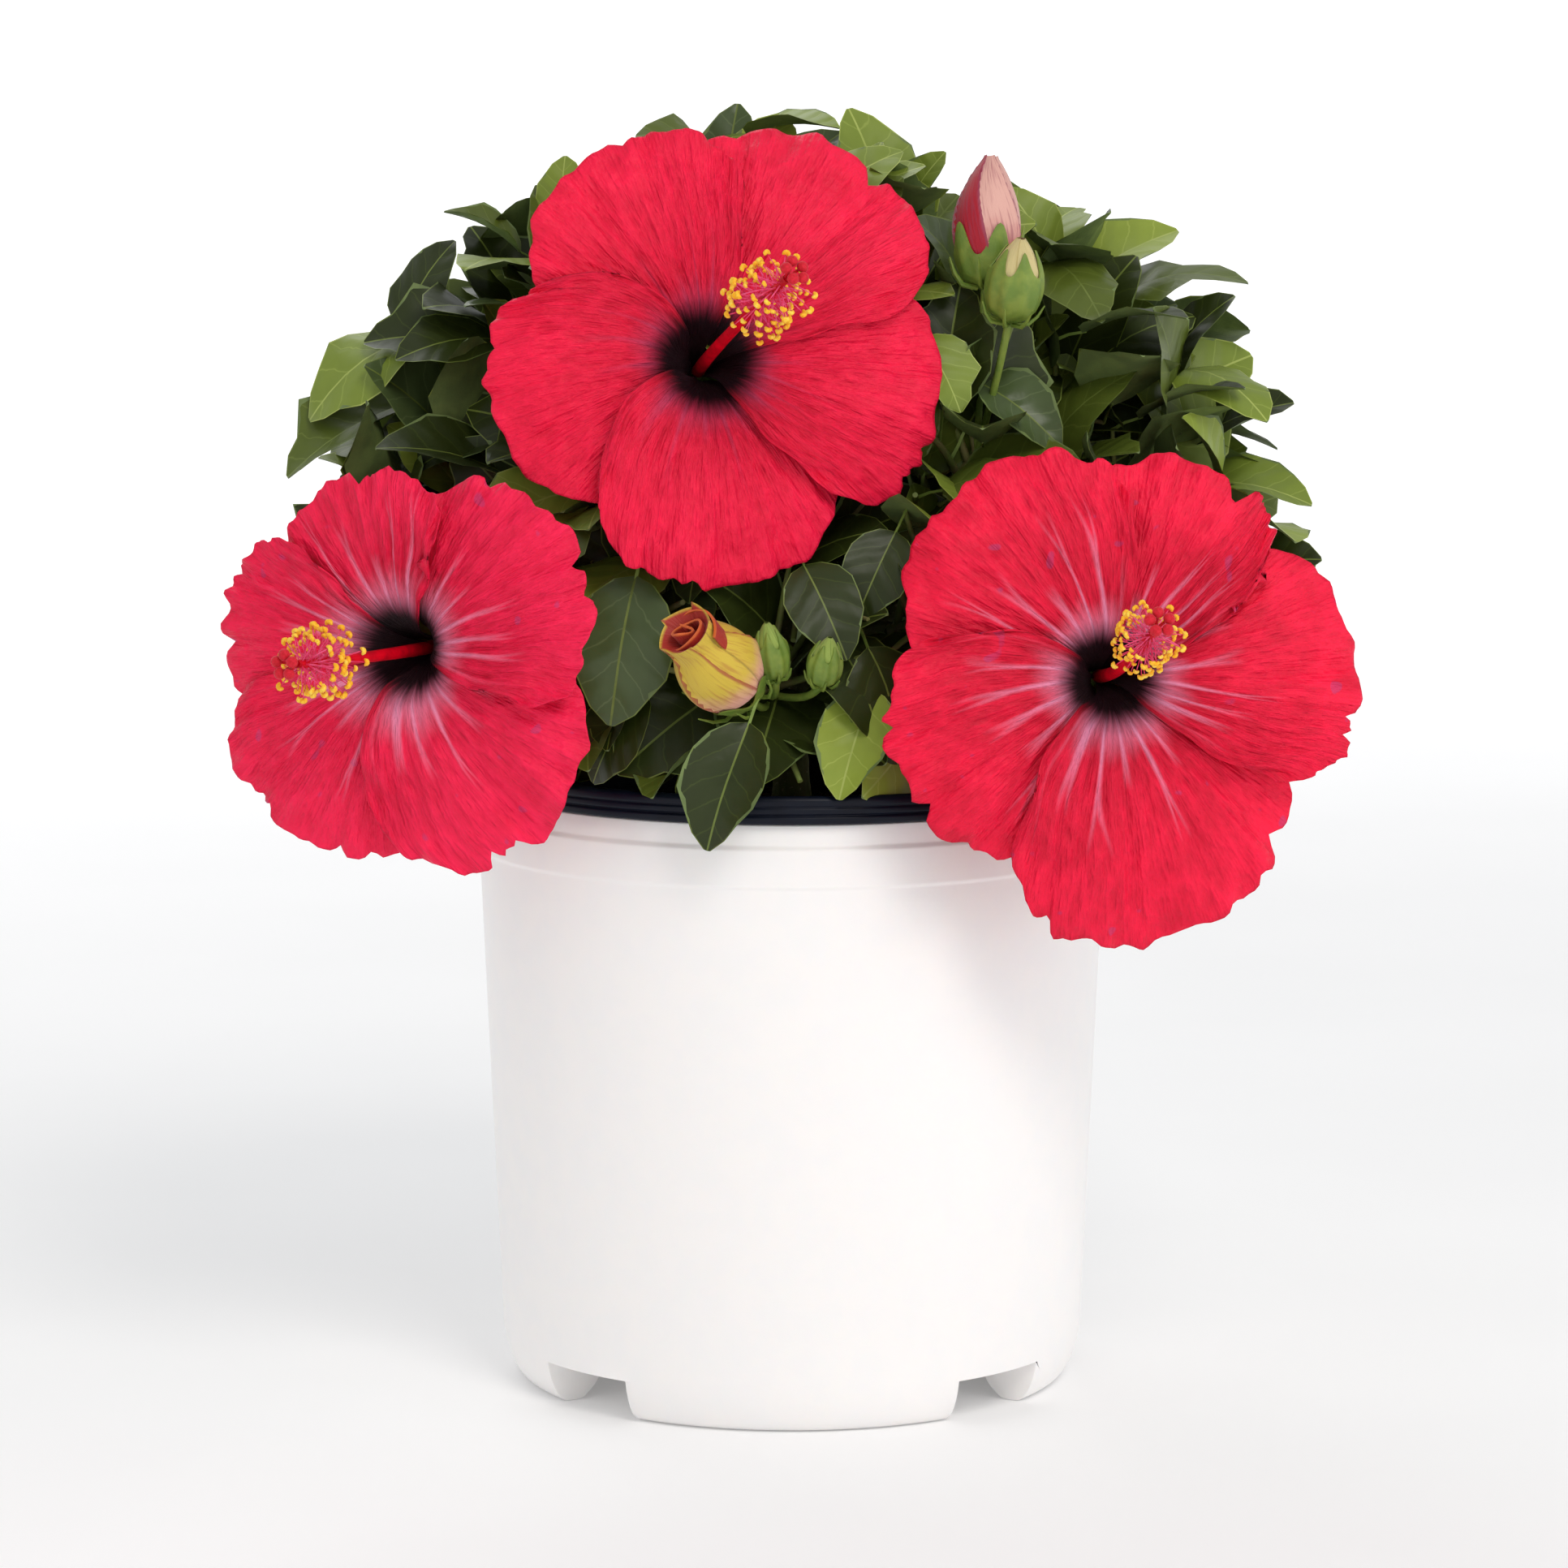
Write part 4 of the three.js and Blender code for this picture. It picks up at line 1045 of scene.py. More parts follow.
    def bark(self) -> Piece:
        """Shredded bark chips that lie on the mix.

        Returns:
            The piece, a plain mesh of all of them.
        """
        skins = [finish.made() for finish in CHIPS]
        shapes, steps = [], 4
        for n in range(4):
            line = np.array([[mix(-3.2, 3.2, i / steps), 0.7 * (chance(n, i) - 0.5),
                              0.5 * (chance(n + 9, i) - 0.5)] for i in range(steps + 1)])
            radii = [mix(0.5, 1.5, chance(n + 20, i)) * (0.45 if i in (0, steps) else 1)
                     for i in range(steps + 1)]
            chip = tube(line, radii, 5)
            chip.points[:, 2] *= 0.55
            shapes.append(built(f"chip_{n}", [skins[0]], [chip]))
        spots = []
        for n in range(self.chips):
            radius = mix(16.0, self.throat - 8, math.sqrt(chance(101, n)))
            angle = math.radians(GOLDEN * n + 40 * chance(102, n))
            root = Vector((radius * math.cos(angle), radius * math.sin(angle), self.soil_top - 0.6))
            way = heading(360 * chance(103, n), 24 * (chance(104, n) - 0.5))
            spots.append(Spot(root, way, UP + heading(360 * chance(105, n), 0) * 0.5,
                              mix(0.6, 1.5, chance(106, n)), n % 4, int(4 * chance(107, n))))
        scatter = Scatter("bark_chips", shapes, [Coat(skin, 0, n) for n, skin in enumerate(skins)])
        piece = scatter.spread("bark_chips", spots)
        scatter.done()
        return piece


@dataclass(frozen=True)
class Mass:
    """One mass of foliage: where it lies from the heart, how far it reaches, and what carries it."""

    name: str
    azimuth: float
    elevation: float
    reach: float
    parent: str
    at: float  # how far along its parent its bough starts
    seed: int

    def way(self) -> Vector:
        """Its direction from the heart of the crown."""
        return heading(self.azimuth, self.elevation)


@dataclass
class Habit:
    """How the shrub grows: the sizes of its trunk, boughs and twigs."""

    foot: float = 205.35  # where the trunk meets the mix
    trunk_height: float = 58.0
    flare: float = 9.5
    trunk_radius: float = 7.0
    trunk_tip: float = 5.4
    lean: Vector = field(default_factory=lambda: Vector((-3.0, 4.0, 0.0)))
    heart: Vector = field(default_factory=lambda: Vector((0.0, 0.0, 268.0)))
    entry: float = 0.42  # share of a mass's reach where its bough ends
    middle: float = 0.68  # share of its reach where its middle lies
    main: float = 4.4  # radius of a bough that leaves the trunk
    side: float = 3.5  # radius of one that leaves another bough
    tip: float = 2.7
    stem_tip: float = 1.7
    clearance: float = 0.35
    ring_gap: float = 2.2  # from one ring of a limb's mesh to the next
    scar: float = 0.28  # height of the leaf scars
    scar_gap: float = 4.5  # from one scar to the next, divided by pi
    twig_length: float = 52.0
    twig_lean: float = 56.0
    twigs: int = 8
    lead: float = 52.0  # from a stem's end to the reach of its mass
    shoot_length: float = 25.0  # the finer twigs on each twig
    shoot_lean: float = 48.0
    shoot: float = 1.1  # radii of a finer twig and of a twig, at their roots and tips
    shoot_tip: float = 0.8
    twig: float = 1.6
    twig_tip: float = 1.0


class Limbs:
    """The trunk and every bough, each a curve that later ones grow from."""

    def __init__(self, habit: Habit, masses: Sequence[Mass], blooms: Sequence["Bloom"]) -> None:
        """Lays out the curves.

        Args:
            habit: the sizes.
            masses: what the boughs carry.
            blooms: what the flowering boughs carry.
        """
        self.habit = habit
        foot = Vector((0.0, 0.0, habit.foot))
        head = foot + UP * habit.trunk_height + habit.lean
        self.curves = {"trunk": Curve(foot, foot + UP * habit.trunk_height * 0.55, head)}
        self.radii = {"trunk": (habit.trunk_radius, habit.trunk_tip)}
        goals = [(mass, habit.heart + mass.way() * habit.entry * mass.reach) for mass in masses]
        goals += [(bloom, bloom.knot(habit.heart)) for bloom in blooms]
        for carried, goal in goals:
            is_main = carried.parent == "trunk"
            self.curves[carried.name] = self.bough(carried.parent, carried.at, goal)
            self.radii[carried.name] = (habit.main if is_main else habit.side, habit.tip)

    def bough(self, parent: str, at: float, goal: Vector) -> Curve:
        """The curve of a bough, which leaves between its parent's direction and its goal's.

        Args:
            parent: the limb that it leaves.
            at: how far along that limb it starts.
            goal: where it ends.

        Returns:
            Its curve.
        """
        curve = self.curves[parent]
        start = curve.point(at) + (curve.tangent(1) * self.habit.clearance if at == 1 else Vector())
        span = goal - start
        return Curve(start, start + curve.tangent(at) * 0.22 * span.length + span * 0.28, goal)

    def build(self, bark: Material) -> None:
        """Builds and dresses the trunk and the boughs with the bark's relief and its leaf scars.

        Args:
            bark: their finish.
        """
        for name, curve in self.curves.items():
            wide, narrow = self.radii[name]
            steps = max(6, int(curve.length() / self.habit.ring_gap))
            shares = np.linspace(0, 1, steps)
            scars = self.habit.scar * np.abs(np.sin(shares * curve.length() / self.habit.scar_gap)) ** 8
            radii = wide + (narrow - wide) * shares + scars
            label, node = "bough_bark_" + name, "bough_" + name
            if name == "trunk":
                radii += (self.habit.flare - self.habit.trunk_radius) * np.exp(-shares * 9)
                label, node = "trunk_bark", "trunk"
            limb = tube(curve.points(steps), radii, 16, relief=self.relief)
            dressed(built(label, [bark], [limb], 60), "green_bark", node)

    @staticmethod
    def relief(at: Vector) -> float:
        """How far the bark stands proud, drawn out along the limb."""
        return 0.26 * noise.fractal(Vector((at.x / 2.2, at.y / 2.2, at.z / 7)), 1.0, 2.0, 3)


@dataclass(frozen=True)
class Petal:
    """One petal of a bloom: where it points as the viewer sees it, how long it is, and its covering edge."""

    direction: float
    length: float
    cover: float  # half its angle on the side that lies over the next petal
    sweep: float  # how much wider that side is near the throat, in degrees
    frill: float = 1.6  # how far that edge curls up


@dataclass
class Bloom:
    """One open bloom: five petals round a throat, the column with its stamens, and the calyx behind."""

    name: str
    throat: Vector
    azimuth: float
    elevation: float
    petals: Sequence[Petal]
    stigma: Vector
    parent: str
    at: float
    seed: int
    skin: PetalFinish
    ragged: float = 1.0
    stamen_size: float = 1.0
    tube_depth: float = 30.0  # how far back the throat runs
    throat_fall: float = 7.0  # how soon it opens out
    crown: float = 8.0  # how far forward the petals bulge
    curl: float = 12.0  # how far back their ends bend
    span: float = 84.0  # the radius at which they do
    ruffle: float = 4.0  # height of the broad waves
    layer: float = 2.6  # from one petal to the one that it covers
    under: float = 54.0  # half a petal's angle on the side that is covered
    pucker: float = 0.75  # height of the crinkles
    corner: float = 0.26  # how much shorter a petal is at its corners
    square: float = 3.0  # how late that rounding starts
    thickness: float = 0.5
    first: float = 2.5  # radius at which the petals start
    cup_depth: float = 3.4  # from the throat's end to the calyx's foot
    stalk: float = 24.0  # from there back to the bough
    sag: float = 12.0  # how much lower the bough ends
    column_root: float = -27.4  # where the column starts, and where it starts to bend, forward of the throat
    column_bend: float = 22.0
    room: float = 2.5  # what stays clear round the petals
    room_behind: float = 6.0
    calyx_radius: float = 13.0  # the room of the calyx and its stalk
    calyx_depth: float = 62.0
    hidden: float = 2.0  # how much of the petals' edges may be covered
    rows: int = 72
    columns: int = 74

    def __post_init__(self) -> None:
        """Works out the bloom's own axes: right, up and forward."""
        facing = heading(self.azimuth, self.elevation)
        self.axes = Axes(self.throat, (*square_to(facing), facing))

    def place(self, x: float, y: float, z: float) -> Vector:
        """A point from the bloom's own axes: to its right, up, and forward."""
        right, up, facing = self.axes.ways
        return self.throat + right * x + up * y + facing * z

    def knot(self, heart: Vector) -> Vector:
        """Where the bloom's bough ends and its stalk begins."""
        back = self.place(0, 0, -self.tube_depth - self.cup_depth - self.stalk) - UP * self.sag
        return back.lerp(heart, 0.12)

    def height(self, radius: Any, angle: Any) -> Any:
        """How far forward of the throat the corolla lies.

        Every petal follows it, so that where two overlap they run side by side.

        Args:
            radius: how far from the throat.
            angle: the turn round it, in radians.

        Returns:
            The height there.
        """
        share = radius / self.span
        broad = (-self.tube_depth * np.exp(-(radius - 3) / self.throat_fall)
                 + self.crown * (1 - np.exp(-radius / 30)) - self.curl * share ** 3
                 + self.ruffle * share ** 3 * np.sin(3 * angle + self.seed))
        fine = (1.9 * ease(0.35, 1.0, share) * np.sin(9 * angle + 2.3 * self.seed + 2.2 * share)
                + 1.3 * ease(0.5, 1.0, share) * np.sin(17 * angle + 1.7 * self.seed - 3.0 * share))
        return broad + fine

    def edge(self, index: int, across: np.ndarray) -> np.ndarray:
        """How far a petal reaches, with a ragged margin and a few deeper notches.

        Args:
            index: which petal.
            across: from -1 at its covering edge to 1 at the other.

        Returns:
            Its reach at each place across.
        """
        length = self.petals[index].length
        wave = sum((0.9 / k) * np.sin(TURN * k * 1.9 * across + 9 * chance(self.seed + 60 + k, index))
                   for k in (1, 2, 3, 4, 6))
        reach = length * (1 - self.corner * np.abs(across) ** self.square) + self.ragged * (wave - 0.8)
        for n in range(4):
            at = mix(-0.85, 0.85, chance(self.seed + 70 + n, index))
            deep = self.ragged * mix(1.0, 3.4, chance(self.seed + 80 + n, index))
            reach -= deep * np.clip(1 - np.abs(across - at) / 0.05, 0, 1)
        return reach

    def petal(self, index: int) -> Body:
        """One petal as a closed thin sheet.

        Args:
            index: which petal.

        Returns:
            The sheet, whose place on the surface is its radius and its turn.
        """
        petal = self.petals[index]
        u = np.linspace(0, 1, self.rows)[:, None]
        a = np.linspace(-1, 1, self.columns)[None, :]
        phase = 6.28 * chance(self.seed + 90, index)
        radius = self.first + (self.edge(index, a) - self.first) * u
        curled = 0.6 * petal.frill * np.sin(13 * u + phase) * ease(0.3, 0.6, u)
        cover = petal.cover + petal.sweep * ease(0.05, 0.22, u) * (1 - u) + curled
        half = np.where(a < 0, cover, self.under) * (0.94 + 0.06 * ease(0.1, 0.5, u))
        angle = np.radians(petal.direction + a * half)
        surface = self.axes.world(circle(radius, angle, self.height(radius, angle)))
        normal = normals_of(surface)
        if (normal @ np.array(self.axes.ways[2])).mean() < 0:
            normal = -normal
        crinkle = np.array([[noise.fractal(Vector((r / 9, 8 * s, 7 * index + self.seed)), 1.0, 2.0, 3)
                             for r, s in zip(row, a[0])] for row in radius])
        frilled = petal.frill * ease(0.45, 1.0, np.clip(-a, 0, 1)) * ease(0.25, 0.6, u)
        pleats = np.sin(TURN * (5.5 * a + 0.25 * np.sin(5 * u + phase)) + phase)
        rim = np.sin(TURN * (3.7 * a + 0.2 * np.sin(7 * a + phase)) + phase)
        lift = (-a * half * self.layer / 72 * (1 + 0.9 * u)  # one edge lies over a petal, the other under one
                + 1.3 * (1 - a ** 2) * ease(0.25, 0.7, u)
                + frilled * (0.85 + 0.7 * np.sin(19 * u + phase))
                + 0.42 * ease(0.2, 0.5, u) * pleats
                + 1.1 * ease(0.8, 1.0, u) * rim
                + self.pucker * ease(0.2, 0.45, u) * crinkle)
        thin = self.thickness * (1 - 0.6 * ease(0.9, 1.0, u)) * np.ones_like(a)
        lifted = surface + normal * lift[..., None]
        outward = normals_of(lifted)
        outward *= np.sign((outward * normal).sum(2, keepdims=True))
        rise = outward * (thin / 2)[..., None]
        place = np.stack([radius / 100, np.broadcast_to(a / 2 + 0.5 + index, radius.shape)], 2)
        return sheet(lifted + rise, lifted - rise, place)

    def covers(self, points: np.ndarray, camera: np.ndarray) -> bool:
        """True if any of the points lies in the bloom or between it and the camera.

        Args:
            points: the points.
            camera: where the camera stands.

        Returns:
            Whether one does.
        """
        near = self.axes.local(points)
        radius = np.hypot(near[:, 0], near[:, 1])
        angle = np.arctan2(near[:, 1], near[:, 0])
        reach = self.reach_at(angle) + self.room
        behind = self.height(np.minimum(radius, reach), angle) - self.room_behind
        in_petals = (radius < reach) & (near[:, 2] > behind)
        in_calyx = (radius < self.calyx_radius) & (near[:, 2] > -self.calyx_depth)
        eye = self.axes.local(camera[None, :])[0]
        share = near[:, 2] / (near[:, 2] - eye[2])
        seen = near + (eye - near) * share[:, None]
        clear = self.reach_at(np.arctan2(seen[:, 1], seen[:, 0])) - self.hidden
        before = (near[:, 2] > 0) & (np.hypot(seen[:, 0], seen[:, 1]) < clear)
        return bool(np.any(in_petals | in_calyx | before))

    def reach_at(self, angle: np.ndarray) -> np.ndarray:
        """How far the widest petal reaches.

        Args:
            angle: turns round the throat, in radians.

        Returns:
            The reach at each of them.
        """
        reach = np.zeros_like(angle)
        for petal in self.petals:
            turn = (np.degrees(angle) - petal.direction + 180) % 360 - 180
            share = np.abs(turn) / np.where(turn < 0, petal.cover, self.under)
            there = petal.length * (1 - self.corner * np.minimum(share, 1) ** self.square)
            reach = np.maximum(reach, np.where(share <= 1, there, 0))
        return reach

    def spine(self) -> Curve:
        """The middle line of the column."""
        return Curve(self.place(0, 0, self.column_root), self.place(0, 0, self.column_bend), self.stigma)

    def build(self, limbs: Limbs, parts: "BloomParts") -> None:
        """Builds and dresses the petals, the column, the stamens, the stigma and the calyx.

        Args:
            limbs: the boughs, one of which carries it.
            parts: what all the blooms share.
        """
        petals = [self.petal(index) for index in range(len(self.petals))]
        dressed(built(self.name + "_corolla", [self.skin.made()], petals), "petals", self.name + "_petals")
        parts.column(self)
        parts.calyx(self, limbs)


# Red tissue of the column and styles, grown smooth and moist: saturated scarlet with a soft gloss.
COLUMN = MottledFinish("column_red_tissue", 0.36, 1.4, "#d4001c", "#b00016", patch=5.0, relief=0.05, glow=0.1)
# Green tissue of the calyx and stalk, finely ribbed: mid green, satin, a little light passing through.
CALYX = MottledFinish("calyx_green_tissue", 0.5, 1.42, "#7d8f3a", "#667f30", patch=6.0, grain=0.8, glow=0.05)
# Filaments, fine moist threads: rose pink.
FILAMENT = MottledFinish("filament_rose_tissue", 0.45, 1.4, "#e02458", "#f0568a", patch=3.0, relief=0.02,
                         glow=0.1)
# Ripe pollen, loose grains caked on the anthers: matt egg-yolk yellow, drawn coarser than the real grains.
POLLEN = [MottledFinish(f"anther_pollen_{n}", 0.8, 1.4, tone, other, patch=1.2, grain=0.35, relief=0.25)
          for n, (tone, other) in enumerate((("#ffc93a", "#fbb11c"), ("#ffdd58", "#ffbf2a")))]
# The stigma's velvet of tiny hairs: deep matt red with a soft bloom at its edge.
STIGMA = MottledFinish("stigma_red_velvet", 0.7, 1.4, "#c0061e", "#d6142e", patch=0.9, grain=0.4, relief=0.2,
                       velvet=0.1)


@dataclass
class BloomParts:
    """What all the blooms share: the finishes and the shapes of the column and the calyx."""

    column_radius: float = 2.4
    column_tip: float = 1.5
    stamens: int = 96
    filament: float = 11.0
    anther: float = 1.2
    style: float = 9.0
    style_spread: float = 0.37
    pad: float = 2.1
    bracts: int = 7
    stalk: float = 2.1

    def __post_init__(self) -> None:
        """Makes the finishes and the stamens' shapes."""
        self.red, self.green, self.pads = COLUMN.made(), CALYX.made(), STIGMA.made()
        self.scatter = Scatter("stamens", [self.stamen(n) for n in range(4)], [
            Coat(FILAMENT.made(), 0), *(Coat(skin.made(), 1, n) for n, skin in enumerate(POLLEN))])

    def stamen(self, seed: int) -> Piece:
        """One stamen along X: a fine bent filament and a kidney-shaped anther on its end.

        Args:
            seed: which of the shapes it is.

        Returns:
            The shape, with the anther's faces numbered 1.
        """
        end, r = self.filament, self.anther
        bend = 1.6 * (chance(seed, 1) - 0.2)
        line = Curve(Vector((-1.0, 0.0, 0.0)), Vector((end * 0.5, 0.0, bend * 2)),
                     Vector((end, 0.4 * (chance(seed, 2) - 0.5), 0.0)))
        kidney = Curve(Vector((end - 0.3, -r * 0.95, 0.0)), Vector((end + r * 1.5, 0.0, 0.2)),
                       Vector((end - 0.3, r * 0.95, 0.0)))
        return built(f"stamen_{seed}", [], [
            tube(line.points(5), [0.32, 0.27, 0.24, 0.22, 0.2], 4),
            tube(kidney.points(6), [r * k for k in (0.25, 0.66, 0.74, 0.7, 0.66, 0.25)], 5, 1)])

    def column(self, bloom: Bloom) -> None:
        """The staminal column, its stamens, and the five styles with their pads.

        Args:
            bloom: the bloom that they belong to.
        """
        spine, steps = bloom.spine(), 40
        shares = np.linspace(0, 1, steps)
        radii = self.column_radius + (self.column_tip - self.column_radius) * shares
        core, pads = [tube(spine.points(steps), radii, 14)], []
        along, root = spine.tangent(1), spine.point(0.96)
        swell = [math.pi * i / 8 for i in range(9)]  # the rings of a pad, as angles from end to end
        for n in range(5):
            way = (around(along, 72 * n + 20) * self.style_spread + along).normalized()
            style = Curve(root, root + along * self.style * 0.6, root + way * (self.style + 1.2))
            core.append(tube(style.points(7), np.linspace(0.7, 0.5, 7), 6))
            centre = root + way * (self.style + 1.4)
            line = np.array([centre + way * self.pad * 0.9 * -math.cos(a) for a in swell])
            pads.append(tube(line, [max(self.pad * math.sin(a), 0.12) for a in swell], 12))
        dressed(built(bloom.name + "_style_column", [self.red], core, 60), "stamens", bloom.name + "_column")
        dressed(built(bloom.name + "_stigma_pads", [self.pads], pads), "stamens")
        spots = []
        for n in range(self.stamens):
            t = mix(0.73, 0.975, (n / (self.stamens - 1)) ** 0.9)
            along = spine.tangent(t)
            lean = mix(-0.3, 0.34, chance(bloom.seed + 40, n))
            spots.append(Spot(spine.point(t), (around(along, GOLDEN * n) + along * lean).normalized(), along,
                              mix(0.8, 1.18, chance(bloom.seed + 41, n)), n % 4,
                              int(2 * chance(bloom.seed + 42, n))))
        dressed(self.scatter.spread(bloom.name + "_stamens", spots, bloom.stamen_size), "stamens")

    def calyx(self, bloom: Bloom, limbs: Limbs) -> None:
        """The green cup with five pointed lobes, the narrow bracts under it, and the stalk.

        Args:
            bloom: the bloom that they belong to.
            limbs: the boughs, one of which carries it.
        """
        floor = -bloom.tube_depth - limbs.habit.clearance
        angles = np.linspace(0, TURN, 50, endpoint=False)[None, :]
        t = np.linspace(0, 1, 13)[:, None]
        lobe = 0.5 + 0.5 * np.cos(5 * angles)
        z = floor - 4 + (11.0 + 12.5 * lobe ** 1.2) * t
        swell = 3.0 + 6.6 * ease(0, 0.42, t) + 3.2 * t ** 2 + 2.6 * ease(0.7, 1.0, t) * lobe
        swell = swell + 0.35 * np.cos(10 * angles)
        bodies = [bloom.axes.stood(cup(circle(swell + 1.1, angles, z), circle(swell, angles, z)))]
        for n in range(self.bracts):
            angle = TURN * (n + 0.3) / self.bracts
            line = np.array([[r * math.cos(angle), r * math.sin(angle), floor - 3 + z]
                             for r, z in ((3.4, 0.0), (8.2, 2.0), (11.6, 5.4), (14.6, 9.8))])
            bodies.append(tube(bloom.axes.world(line), [0.8, 0.9, 0.7, 0.25], 6))
        start = bloom.knot(limbs.habit.heart) + limbs.curves[bloom.name].tangent(1) * limbs.habit.clearance
        stalk = Curve(bloom.place(0, 0, floor - 3), bloom.place(0, 0, floor - 20), start)
        bodies.append(tube(stalk.points(18), np.linspace(self.stalk + 0.3, self.stalk, 18), 12))
        dressed(built(bloom.name + "_calyx_cup", [self.green], bodies, 50), "calyx", bloom.name + "_calyx")


@dataclass
class Bud:
    """One closed or opening bud on its stalk, with its petals wound round each other."""

    name: str
    mass: str
    base: Vector
    tip: Vector
    radius: float
    calyx: float  # how far up its calyx covers it
    wound: float  # turns that the petals' edges make
    opening: float  # radius of the open end, as a share of the bud's own
    skin: BudFinish
    turn_in: float = 0.8  # share of the petals' rows that lie outside; the others turn down inside

    def __post_init__(self) -> None:
        """Works out the bud's length and its own axes."""
        axis = self.tip - self.base
        self.length = axis.length
        self.axes = Axes(self.base, (*square_to(axis.normalized()), axis.normalized()))
        self.is_closed = self.calyx >= 0.8

    def build(self, stem: Curve, green: Material) -> None:
        """Builds and dresses the bud's petals, calyx, bracts and stalk.

        Args:
            stem: the stem that its stalk leaves.
            green: the calyx's finish.
        """
        bodies = [self.petals(), *([self.roll()] if self.opening > 0.4 else []), self.cup()]
        r = self.radius
        for n in range(7):
            angle = TURN * n / 7
            line = np.array([[k * r * math.cos(angle), k * r * math.sin(angle), z * r]
                             for k, z in ((0.25, -0.1), (0.75, -0.02), (1.02, 0.3), (1.22, 0.75))])
            bodies.append(tube(self.axes.world(line), [0.9, 0.8, 0.6, 0.25], 5, 1))
        stalk = Curve(stem.point(0.9), self.base.lerp(self.tip, -0.5), self.base.lerp(self.tip, 0.12))
        bodies.append(tube(stalk.points(16), np.linspace(1.3, 1.5, 16), 8, 1))
        dressed(built(self.name, [self.skin.made(), green], bodies, 60), "petals")

    def petals(self) -> Body:
        """The wound petals: five folds that spiral up to the open end and down into it.

        Returns:
            The body.
        """
        rows, sides = 40, 100
        angles = np.linspace(0, TURN, sides, endpoint=False)
        points, place = [], []
        for t in (i / rows for i in range(rows + 1)):
            inside = t > self.turn_in
            h = 1 - (t - self.turn_in) * 1.6 if inside else t / self.turn_in
            out = math.sin(math.pi * mix(0.16, 0.972, min(h, 1.0))) ** 0.8 * float(ease(-0.02, 0.2, h))
            shape = mix(out, max(out, self.opening), float(ease(0.6, 1.0, h)))
            if inside:
                shape *= mix(0.96, 0.06, ((t - self.turn_in) / 0.2) ** 0.8)
            spiral = 5 * angles / TURN + self.wound * 5 * t
            fold = (spiral % 1.0) ** 3
            step = (0.03 if self.is_closed else 0.11) * float(ease(0.1, 0.4, h)) + (0.1 if inside else 0.0)
            radius = self.radius * shape * (0.97 + step * fold)
            rise = (0.02 + 0.16 * self.opening) * self.radius
            z = self.length * min(h, 1.0) + (rise * fold if h > 0.8 else 0)
            points.append(circle(radius, angles, z))
            place.append(np.stack([np.full(sides, 1.05 if inside else 0.98 * h), spiral], 1))
        faces = rolled(rows + 1, sides)
        return self.axes.stood(Body(np.concatenate(points), faces, 0, np.concatenate(place)))

    def roll(self) -> Body:
        """The inner petals, rolled up like a scroll, whose edges swirl in the open end.

        Returns:
            The body.
        """
        rows, columns, turns, wall = 10, 140, 2.4, 0.9
        share = np.linspace(0, 1, columns)[None, :]
        t = np.linspace(0, 1, rows)[:, None]
        angle = TURN * turns * share
        wide = self.radius * self.opening * (1.0 - 0.9 * share) * (1 + 0.04 * ease(0.6, 1, t))
        wide = wide * (1 + 0.09 * np.sin(2 * angle + 1))
        top = 0.93 + 0.1 * share ** 0.7 + 0.05 * np.sin(1.3 * angle)
        z = self.length * (0.5 + (top - 0.5) * t)
        skins = [self.axes.world(circle(wide + side, angle, z)) for side in (wall / 2, -wall / 2)]
        place = np.stack(np.broadcast_arrays(1.2 + 0.8 * t ** 3, share * 9), 2)
        return sheet(*skins, place)

    def cup(self) -> Body:
        """The calyx that holds the bud, ribbed, with five points.

        Returns:
            The body.
        """
        angles = np.linspace(0, TURN, 60, endpoint=False)[None, :]
        t = np.linspace(0, 1, 15)[:, None]
        lobe = (0.5 + 0.5 * np.cos(5 * angles)) ** 1.3
        depth, base = (0.6, 0.2) if self.is_closed else (1.0, 0.0)
        h = t * self.calyx * (0.5 + 0.5 * lobe * depth + base)
        out = self.radius * np.sin(math.pi * (0.13 + 0.8 * h)) ** 0.8 * ease(-0.05, 0.22, t)
        rib = 0.3 * np.cos(10 * angles)
        skins = [circle(out + rib + skin, angles, self.length * h - 1.2) for skin in (0.8, 0.25)]
        return self.axes.stood(cup(*skins, 1))


class LeafPart(IntEnum):
    """The parts of a leaf, each with a finish of its own."""

    BLADE = 0
    UNDERSIDE = 1
    MARGIN = 2
    STALK = 3


